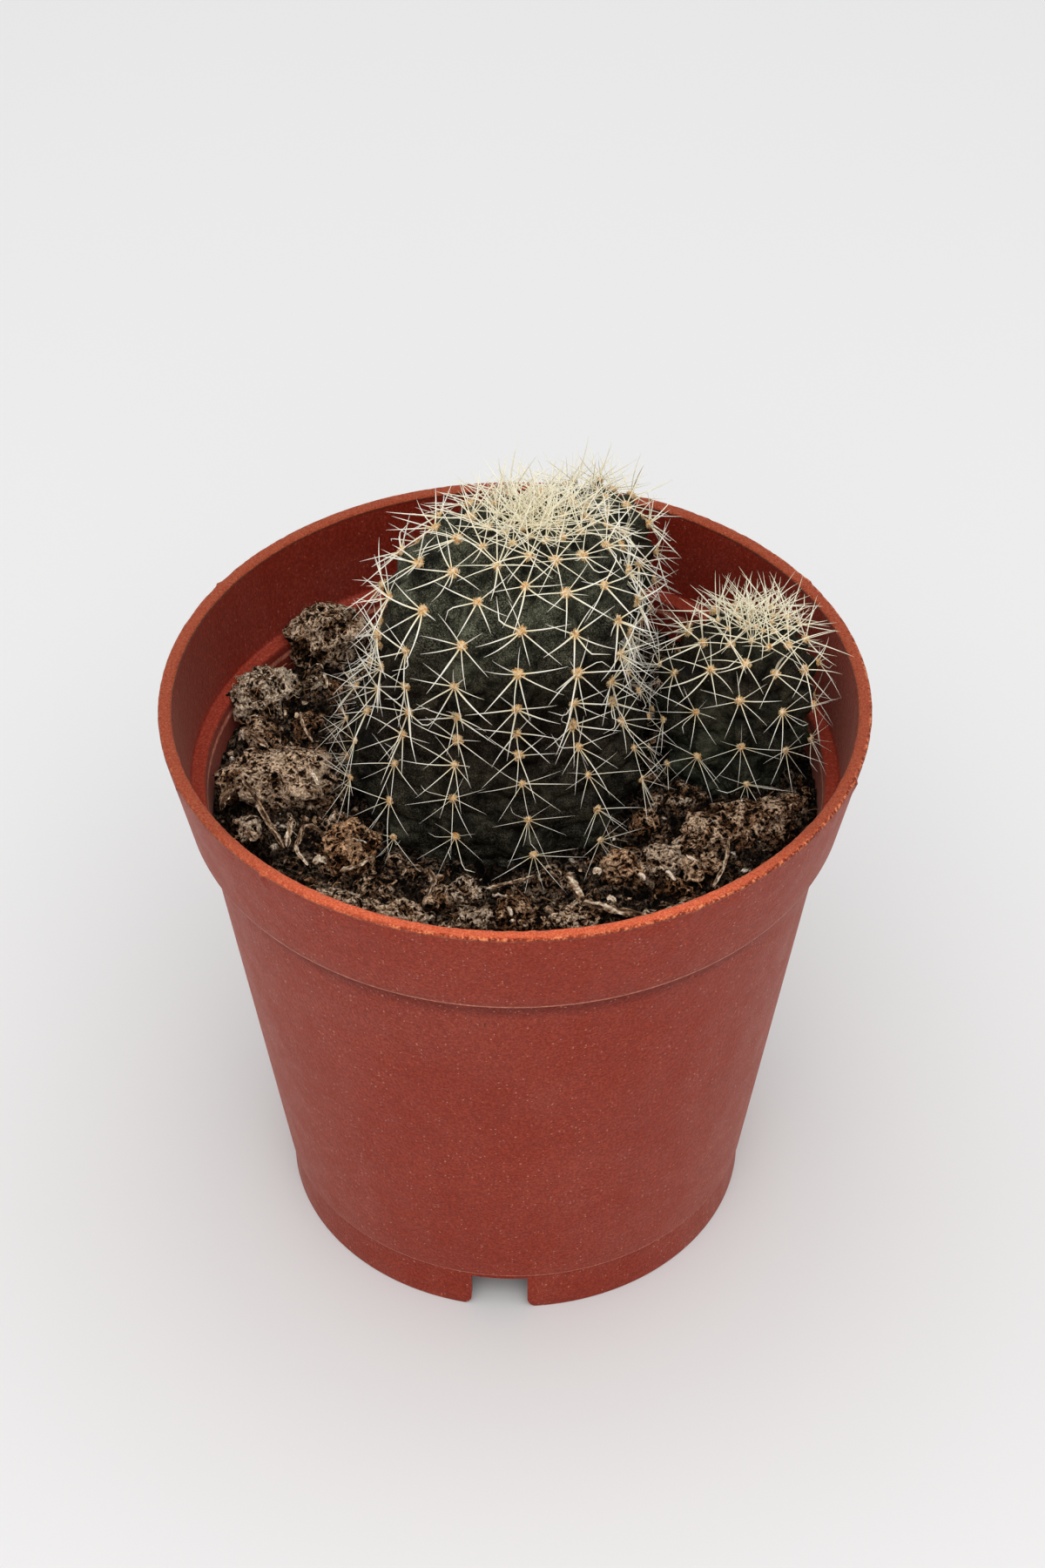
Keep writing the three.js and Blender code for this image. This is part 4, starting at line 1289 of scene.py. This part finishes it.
def buildLumps(name, lumps, material):
    whole = emptyEarth()
    for lump in lumps:
        addLump(whole, *lump)
    mesh = earthMesh(name, whole)
    # crumbs may lie on the paler parts that stand clear of the soil and of the pot
    clear = lambda p: p.z > soilLevel - 0.5 and math.hypot(p.x, p.y) < potInside(p.z) - 1
    shades = zip(whole["points"], whole["paleness"])
    setValues(mesh, "cover", [smoothStep(0.22, 0.5, pale) if clear(p) else 0.0 for p, pale in shades])
    return addObject(name, mesh, material)


def smallLumps():
    # loose lumps between the clods, kept off the stems and off one another
    look = lumpShape
    draw = random.Random(look["seed"])
    taken = [(c[0][0], c[0][1], max(c[1][:2]) * 0.75) for c in clodShape["places"]]
    for stem in stems:
        taken.append((*stemCentre(stem, soilLevel), stemRadius(stem, soilLevel) - 0.2))
    lumps = []
    for _ in range(look["tries"]):
        size = look["smallest"] + (look["largest"] - look["smallest"]) * draw.random() ** 1.6
        far, turn = look["reach"] * math.sqrt(draw.random()), draw.uniform(0, 360)
        x, y = far * math.cos(math.radians(turn)), far * math.sin(math.radians(turn))
        if far + size * 0.8 > potInside(soilLevel) - 0.4:
            continue
        if any(math.hypot(x - a, y - b) < reach + size * look["spacing"] for a, b, reach in taken):
            continue
        taken.append((x, y, size * 0.8))
        radii = (size * draw.uniform(0.9, 1.3), size * draw.uniform(0.7, 1), size * draw.uniform(0.6, 0.9))
        middle = (x, y, soilHeight(x, y) + size * draw.uniform(0.15, 0.5))
        turn, reddish, tone = draw.uniform(0, 360), draw.random() ** 2, draw.uniform(*look["tones"])
        lumps.append((middle, radii, turn, reddish, tone, 3 if size > look["finer"] else 2))
        if len(lumps) == look["count"]:
            break
    return lumps


def buildSoilBed(name, material):
    s = soilShape
    bottom = potSizes["floorUnderside"] + potSizes["floorThickness"] + 0.35
    edge, low = potInside(soilLevel) - 0.3, potInside(bottom) - 0.35
    turns = [2 * math.pi * k / s["sides"] for k in range(s["sides"])]
    around = [(math.cos(turn), math.sin(turn)) for turn in turns]
    rows = [((0, 0, bottom), 0.0, 0.0)]  # place, paleness with painted shade in the hollows, share of crumbs that may lie there
    rows += [((x * low, y * low, bottom), 0.0, 0.0) for x, y in around]
    for ring in range(s["rings"]):
        far = edge * (1 - ring / s["rings"])
        for x, y in around:
            x, y = x * far, y * far
            spot = Vector((x * 0.55, y * 0.55, 0))
            crumble = noise.ridged_multi_fractal(spot * 0.8, 0.7, 2.2, 4, 1.0, 2.0) / 1.6 - 0.9
            cover = smoothStep(edge - 0.6, edge - 1.8, far)
            for stem in stems:
                cx, cy = stemCentre(stem, soilLevel)
                cover *= smoothStep(-0.6, 0.4, math.hypot(x - cx, y - cy) - stemRadius(stem, soilLevel))
            place = (x, y, soilHeight(x, y) + s["crumble"] * crumble)
            rows.append((place, min(1, max(0, 0.42 + crumble * 0.5)), cover))
    rows.append(((0, 0, soilHeight(0, 0)), 0.0, 0.0))
    points, paleness, cover = zip(*rows)
    mesh = meshFrom(name, points, shellFaces(s["rings"] + 1, s["sides"]))
    setValues(mesh, "paleness", paleness)
    setValues(mesh, "cover", cover)
    return addObject(name, mesh, material)


scatterInputs = {
    "Density": 5e5, "Smallest": 0.4 * mm, "Largest": 1.4 * mm, "Rarity": 2.0, "Darkness": 1.0, "Seed": 1,
    "Material": None}


def scatterPoints(tree, taken):
    # points over the covered part, each with a random size and paleness
    spots = addNode(tree, "GeometryNodeDistributePointsOnFaces", {
        "Mesh": taken["Geometry"], "Density": times(tree, taken["Density"], named(tree, "cover")),
        "Seed": taken["Seed"]}).outputs["Points"]
    zones = addNode(tree, "ShaderNodeTexNoise", {"Scale": 330.0}).outputs
    pale = mapped(tree, zones["Fac"], 0.36, 0.64, -0.25, 0.38)
    rare = maths(tree, "POWER", lucky(tree, 0.0, 1.0, 31), taken["Darkness"])
    pale = maths(tree, "ADD", pale, rare, clamp=True)
    hue = addNode(tree, "ShaderNodeSeparateXYZ", {"Vector": zones["Color"]}).outputs["Y"]
    spots = remember(tree, remember(tree, spots, "paleness", pale), "reddish", mapped(tree, hue, 0.4, 0.62))
    share = maths(tree, "POWER", lucky(tree, 0.0, 1.0, taken["Seed"]), taken["Rarity"])
    return spots, mapped(tree, share, 0.0, 1.0, taken["Smallest"], taken["Largest"])


def makeCrumbTree():
    tree, taken, given = newTree("scatterCrumbs", scatterInputs | {"Flatness": 1.0, "Tilt": math.pi})
    forms = []
    for form in range(6):
        ball = addNode(tree, "GeometryNodeMeshUVSphere", {"Radius": 0.5, "Segments": 6, "Rings": 4})
        shift = (form * 3.7, form * 1.3, 0)
        ball = ruffled(tree, ball.outputs[0], shift, 1.25, {"Scale": 2.4, "Roughness": 0.7})
        scale = (1, 0.65, 0.35 + 0.08 * form)
        forms.append(addNode(tree, "GeometryNodeTransform", {"Geometry": ball, "Scale": scale}).outputs[0])
    spots, size = scatterPoints(tree, taken)
    tilt, back = taken["Tilt"], times(tree, taken["Tilt"], -1.0)
    turn = luckyVector(tree, vector(tree, back, back, -math.pi), vector(tree, tilt, tilt, math.pi), 17)
    scale = vector(tree, size, size, times(tree, size, taken["Flatness"]))
    return endTree(tree, oneOf(tree, spots, forms, turn, scale), given, taken["Material"])


def makeFibreTree():
    tree, taken, given = newTree("scatterFibres", scatterInputs | {"Width": 0.15 * mm})
    thickness = maths(tree, "DIVIDE", taken["Width"], taken["Largest"])
    forms = []
    for form in range(7):
        line = straightLine(tree, (0, 0, -0.5), (0, 0, 0.5), 9)
        line = ruffled(tree, line, (form * 5.1, form * 2.3, form * 0.7), 1.3, {"Scale": 1.7})
        forms.append(swept(tree, line, 3, 0.5, thickness))
    spots, size = scatterPoints(tree, taken)
    turn = luckyVector(tree, (math.pi / 2 - 0.5, -0.4, -math.pi), (math.pi / 2 + 0.5, 0.4, math.pi), 19)
    return endTree(tree, oneOf(tree, spots, forms, turn, size), given, taken["Material"])


def scattered(name, target, tree, material, extra):
    density, smallest, largest, rarity, darkness, seed = scatterLook[name]
    values = {"Density": density * 1e6, "Smallest": smallest * mm, "Largest": largest * mm,
              "Rarity": rarity, "Darkness": darkness, "Seed": seed, "Material": material}
    made = addObject(name, runTree(target, tree, values | extra, name))
    print(name, len(made.data.polygons), "faces")
    return made


# Single strands of bark, twig and root: path, half width and half thickness, paleness
strandLook = {
    "barkStrandLeft": (
        [(-32.9, -3.6, 66.9), (-31.2, -6.2, 66.4), (-29.4, -9.8, 65.4), (-27.3, -13.3, 64.2)],
        (0.3, 0.2), 0.34),
    "twigLeft": ([(-33.5, 6.5, 66.2), (-31.9, 4.2, 67), (-30.1, 1.6, 67.4)], (0.38, 0.3), 0.5),
    "twigRearLeft": ([(-25, 19.8, 65.4), (-24.2, 18.3, 64.8), (-23.6, 16.8, 63.9)], (0.4, 0.32), 0.52),
    "barkStripFront": (
        [(7.6, -21.9, 63.9), (10, -23.2, 64.1), (12.8, -23.9, 63.8), (15.6, -24.3, 63.4)],
        (0.5, 0.3), 0.34),
    "whiteCurl": (
        [(-26, -12.9, 64.4), (-25.7, -14.2, 64.5), (-25.1, -15.3, 64.4), (-24.4, -16.1, 64.1)],
        (0.18, 0.1), 0.95),
    "tanCurl": (
        [(-26.3, -13.4, 63.8), (-25.5, -12.1, 65), (-24.8, -11, 65.9),
         (-23.1, -11.8, 65.6), (-22.2, -13, 64.2)],
        (0.24, 0.13), 0.3),
    "creamStrip": ([(-24.4, -2.6, 67.2), (-24.2, -3.4, 67.3), (-23.6, -4.6, 66.5)], (0.22, 0.15), 0.8),
    "endShred": ([(-34.3, -3.6, 66.2), (-34.6, -4.6, 65.8), (-35.4, -5.9, 64.8)], (0.4, 0.25), 0.4),
    "paleKnob": (
        [(-26.4, -10.3, 66.2), (-26.6, -10.8, 66.1), (-26.9, -11.6, 64.9), (-27.1, -12.4, 63.6)],
        (0.32, 0.3), 0.55),
    "creamChip": ([(-23.9, -15.2, 63.9), (-23, -15.2, 64.2), (-22.2, -15.1, 64)], (0.5, 0.16), 0.75),
    "paleLump": ([(-31.9, -11.4, 65), (-31.3, -11.9, 65.4), (-30.7, -12.5, 64.8)], (0.6, 0.45), 0.7),
    "barkBranch": (
        [(6, -18.5, 65), (6.6, -19.8, 65), (7.4, -21.4, 64.5), (8.2, -22.7, 63.9)],
        (0.5, 0.32), 0.32),
    "squareChip": ([(9.1, -18.8, 65.7), (9.6, -18.9, 65.8), (10.1, -19, 65.6)], (0.42, 0.2), 0.85),
    "frontChipLeft": (
        [(-0.8, -23.7, 64.6), (-0.6, -24.1, 64.3), (-0.4, -24.6, 63.9)],
        (0.22, 0.12), 0.85),
    "frontChipLow": ([(-0.4, -24.9, 63.7), (-0.2, -25.2, 63.5)], (0.24, 0.12), 0.8),
    "frontChipMid": ([(10.7, -21.9, 64.3), (11.3, -22, 64.4), (11.8, -22.3, 64)], (0.26, 0.14), 0.85),
    "frontChipRight": (
        [(14.4, -19.3, 65.6), (14.8, -19.5, 65.7), (15.2, -19.9, 65.2)],
        (0.24, 0.13), 0.85),
    "frontChipFar": ([(17.7, -18.5, 65.4), (18.2, -18.9, 65.3), (18.8, -19.5, 64.8)], (0.2, 0.12), 0.85),
    "thinRoot": (
        [(25.1, -14.8, 67), (24.9, -16.4, 65.7), (24.2, -17.8, 64.6), (23.2, -19.3, 63.6)],
        (0.2, 0.16), 0.6),
    "uprightBark": ([(-10.2, -19.9, 67.2), (-9.6, -20.3, 65.4), (-10.4, -20.5, 63)], (0.42, 0.16), 0.34),
    "redFibre": ([(-26.4, 8.9, 66.7), (-26, 6.8, 66.4), (-24.7, 4.2, 65.8)], (0.14, 0.12), 0.4),
    "orangeBit": ([(-20.6, -17.1, 64), (-18.6, -16.7, 64.7), (-16.7, -15.7, 65)], (0.32, 0.22), 0.42),
    "leftChip": ([(-35, -8.7, 66.2), (-34.6, -7.3, 66.9), (-33.7, -5.8, 67)], (0.32, 0.18), 0.42),
    "frontRoot": ([(-3.4, -19.9, 63.9), (-0.3, -19.6, 64.6), (2.3, -18.7, 64.8)], (0.22, 0.15), 0.5),
    "rightCurl": ([(20.2, -15.6, 65.3), (21.6, -16.8, 64.9), (22, -18.2, 63.6)], (0.2, 0.14), 0.7),
}
strandSections = {"rings": 44, "sides": 12, "ragged": 0.6, "fineness": 1.5, "reddish": 0.35}


def bendThrough(points, t):
    # a smooth curve through the points, t from 0 to 1
    spans = len(points) - 1
    span = min(spans - 1, int(t * spans))
    t = t * spans - span
    a, b, c, d = (Vector(points[min(spans, max(0, span + k))]) for k in (-1, 0, 1, 2))
    return (b * 2 + (c - a) * t + (a * 2 - b * 5 + c * 4 - d) * t ** 2 + (b * 3 - a - c * 3 + d) * t ** 3) / 2


def addStrand(whole, points, halfSizes, pale):
    s = strandSections
    rings, sides = s["rings"], s["sides"]
    first = len(whole["points"])
    length = sum((Vector(b) - Vector(a)).length for a, b in zip(points, points[1:]))
    for ring in range(rings):
        t = ring / (rings - 1)
        middle = bendThrough(points, t)
        forward = (bendThrough(points, min(1, t + 0.02)) - bendThrough(points, max(0, t - 0.02))).normalized()
        across = forward.cross(Vector((0, 0, 1))).normalized()
        over = across.cross(forward)
        ends = min(1, 0.35 + 4 * min(t, 1 - t)) if 0 < ring < rings - 1 else 0.12
        for side in range(sides):
            turn = 2 * math.pi * side / sides + 0.8 * t
            wide = math.cos(turn) * halfSizes[0] * across + math.sin(turn) * halfSizes[1] * over
            # the grain runs lengthwise
            around = Vector((math.cos(turn), math.sin(turn), 0)) * s["fineness"]
            around += Vector((middle.x * 0.2, 0, 0))
            ridge = noise.noise(around + Vector((0, 0, t * length * 0.3)))
            crack = noise.fractal(around * 2.3 + Vector((0, 0, t * length * 0.9)), 0.5, 2.2, 3)
            lift = s["ragged"] * (ridge + crack)
            whole["points"].append(middle + wide * ends * (1 + lift))
            whole["paleness"].append(min(1, max(0, pale + 1.1 * lift)))
            whole["reddish"].append(s["reddish"])
    at = lambda ring, side: first + ring * sides + side % sides
    for side in range(sides):
        whole["faces"] += [
            (at(r, side), at(r + 1, side), at(r + 1, side + 1), at(r, side + 1)) for r in range(rings - 1)]
    whole["faces"].append([at(0, side) for side in range(sides)])
    whole["faces"].append([at(rings - 1, side) for side in reversed(range(sides))])


def buildStrands(name, labels, material):
    whole = emptyEarth()
    for label in labels:
        addStrand(whole, *strandLook[label])
    mesh = earthMesh(name, whole, 60)
    faceOutward(mesh)
    return addObject(name, mesh, material)


def earthFinish(name, stops, patch, share, bump, wrinkles=0.0):
    # colour follows each point's own paleness, broken up by noise and by wrinkles whose hollows get painted
    # shade; some of it is reddish
    finish, tree, shader = newFinish(name, 0.93, 0.06)
    tone = mixValue(tree, share, noiseValue(tree, patch, 4.0, 0.7), attributeValue(tree, "paleness"))
    grain = useGroup(tree, grainGroup, {"Scale": 4200.0, "Coarse": 1500.0, "Coarse Share": 0.5})
    if wrinkles:
        height = useGroup(tree, wrinkleGroup, {"Scale": 1250.0})
        zones = times(tree, minus(tree, noiseValue(tree, 330.0, 3.0, 0.6), 0.5), 2.0)
        tone = plus(tree, tone, times(tree, plus(tree, minus(tree, height, 0.55), zones), wrinkles))
        grain = plus(tree, grain, times(tree, height, 3 * wrinkles))
    colour = ramp(tree, tone, stops)
    colour = tinted(tree, times(tree, attributeValue(tree, "reddish"), 0.7), colour, (1.0, 0.62, 0.35))
    specks = useGroup(tree, speckGroup, {"Spacing": 1100.0, "Size": 0.22, "Amount": 0.05})
    colour = mixColour(tree, times(tree, specks, 0.6), colour, (0.5, 0.42, 0.3))
    dress(tree, shader, colour, grain, 1.0, bump)
    return finish


# the bed's near-black is partly the mix's own colour and partly painted shade between the clods
darkMixAndShade = earthFinish("darkPottingMixAndShade", [
    (0.32, (0.002, 0.0013, 0.0009)), (0.52, (0.011, 0.0065, 0.0042)),
    (0.68, (0.05, 0.031, 0.019)), (0.84, (0.22, 0.15, 0.1))], 1200.0, 0.5, 0.6, 0.5)
dryPeat = earthFinish("dryPeat", [
    (0.16, (0.004, 0.0024, 0.0015)), (0.32, (0.022, 0.0115, 0.006)), (0.46, (0.14, 0.074, 0.037)),
    (0.62, (0.39, 0.245, 0.147)), (0.82, (0.9, 0.74, 0.56))], 2600.0, 0.6, 0.8, 0.7)
crumbMix = earthFinish("crumbs", [
    (0.12, (0.006, 0.0035, 0.002)), (0.36, (0.05, 0.028, 0.016)), (0.54, (0.24, 0.15, 0.09)),
    (0.72, (0.55, 0.41, 0.29)), (0.9, (0.92, 0.82, 0.68))], 2200.0, 0.5, 0.4, 0.35)
chipBark = earthFinish("chips", [
    (0.15, (0.015, 0.008, 0.005)), (0.36, (0.11, 0.065, 0.038)), (0.58, (0.4, 0.28, 0.18)),
    (0.82, (0.95, 0.87, 0.72))], 1600.0, 0.6, 0.2, 0.2)
rootFibre = earthFinish("rootFibre", [
    (0.2, (0.04, 0.02, 0.01)), (0.5, (0.24, 0.13, 0.065)), (0.8, (0.7, 0.52, 0.34))], 1500.0, 0.4, 0.1)

bed = buildSoilBed("soilBed", darkMixAndShade)
clods = buildLumps("soilClods", clodShape["places"], dryPeat)
lumps = buildLumps("soilLumps", smallLumps(), dryPeat)
crumbTree, fibreTree = makeCrumbTree(), makeFibreTree()
thin, broad = {"Width": 0.13 * mm}, {"Width": 0.34 * mm}
scatters = [scattered(*row) for row in (
    ("bedCrumbs", bed, crumbTree, crumbMix, {}),
    ("clodCrumbs", clods, crumbTree, crumbMix, {}),
    ("lumpCrumbs", lumps, crumbTree, crumbMix, {}),
    ("bedChunks", bed, crumbTree, crumbMix, {"Flatness": 0.6, "Tilt": 0.8}),
    ("bedChips", bed, crumbTree, chipBark, {"Flatness": 0.2, "Tilt": 0.9}),
    ("bedFibres", bed, fibreTree, rootFibre, thin),
    ("clodFibres", clods, fibreTree, rootFibre, thin),
    ("clodShreds", clods, fibreTree, crumbMix, broad),
    ("lumpShreds", lumps, fibreTree, crumbMix, broad),
)]
solidStrands = {  # these stand for a node, the others lie loose on the soil
    "barkStrandLeft": "bark_strand_left",
    "twigLeft": "twig_left",
    "twigRearLeft": "twig_rear_left",
    "barkStripFront": "bark_strip_front",
}
loose = buildStrands("looseStrands", [label for label in strandLook if label not in solidStrands], chipBark)
finished = [(pot, "pot", ["pot"]), (bed, "soil", ["soil"]), (loose, "bark", [])]
finished += [(piece, "soil", []) for piece in [clods, lumps] + scatters]
finished += [(buildStrands(label, [label], chipBark), "bark", [node]) for label, node in solidStrands.items()]
print("soil and bark built")

spineIvory, areoleWool = spineFinish(), woolFinish()
spineTree, woolTree = makeSpineTree(), makeWoolTree()


def grownOn(name, rows, fields, tree, values):
    # one mesh of what the tree grows on a cloud of points
    cloud = pointCloud("roots", rows, fields)
    made = addObject(name, runTree(cloud, tree, values, name))
    bpy.data.objects.remove(cloud)
    return made


for stem, label in zip(stems, ("mainStem", "rightOffset", "rearOffset")):
    mesh, points, places = buildStemSkin(stem, label + "Skin")
    skin = addObject(label + "Skin", mesh, darkSkin if stem is mainStem else greenSkin)
    grown, areoles = growSpines(stem, points, places)
    spines = grownOn(label + "Spines", [(*row[:3], row[3] * mm, *row[4:]) for row in grown], [
        ("direction", "FLOAT_VECTOR"), ("bendWay", "FLOAT_VECTOR"), ("length", "FLOAT"), ("thick", "FLOAT"),
        ("form", "INT"), ("tone", "FLOAT"),
    ], spineTree, {
        "Thickness": spineLook["thickness"] / stem["spineLength"],
        "Tip Share": spineLook["tipShare"],
        "Bend": spineLook["bend"],
        "Sides": spineLook["sides"],
        "Points": spineLook["points"],
        "Material": spineIvory,
    })
    wool = grownOn(label + "Wool", areoles, [
        ("normal", "FLOAT_VECTOR"), ("down", "FLOAT_VECTOR"), ("size", "FLOAT"), ("tone", "FLOAT"),
    ], woolTree, {
        "Width": woolLook["width"] * mm,
        "Height": woolLook["height"] * mm,
        "Hairs": woolLook["hairs"],
        "Hair Length": woolLook["hairLength"] * mm,
        "Hair Width": woolLook["hairWidth"] * mm,
        "Material": areoleWool,
    })
    finished += [(piece, "cactus", [stem["node"]]) for piece in (skin, spines, wool)]
    print(label, "grown:", len(grown), "spines,", len(areoles), "areoles")

# Attach the pieces to the root body and hide the parts they stand for
for piece, slotName, nodes in finished:
    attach(piece, "root")
    if nodes:
        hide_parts(*nodes)
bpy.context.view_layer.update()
triangles = sum(len(face.vertices) - 2 for piece, *_ in finished for face in piece.data.polygons)
print("pieces:", len(finished), "triangles:", triangles)
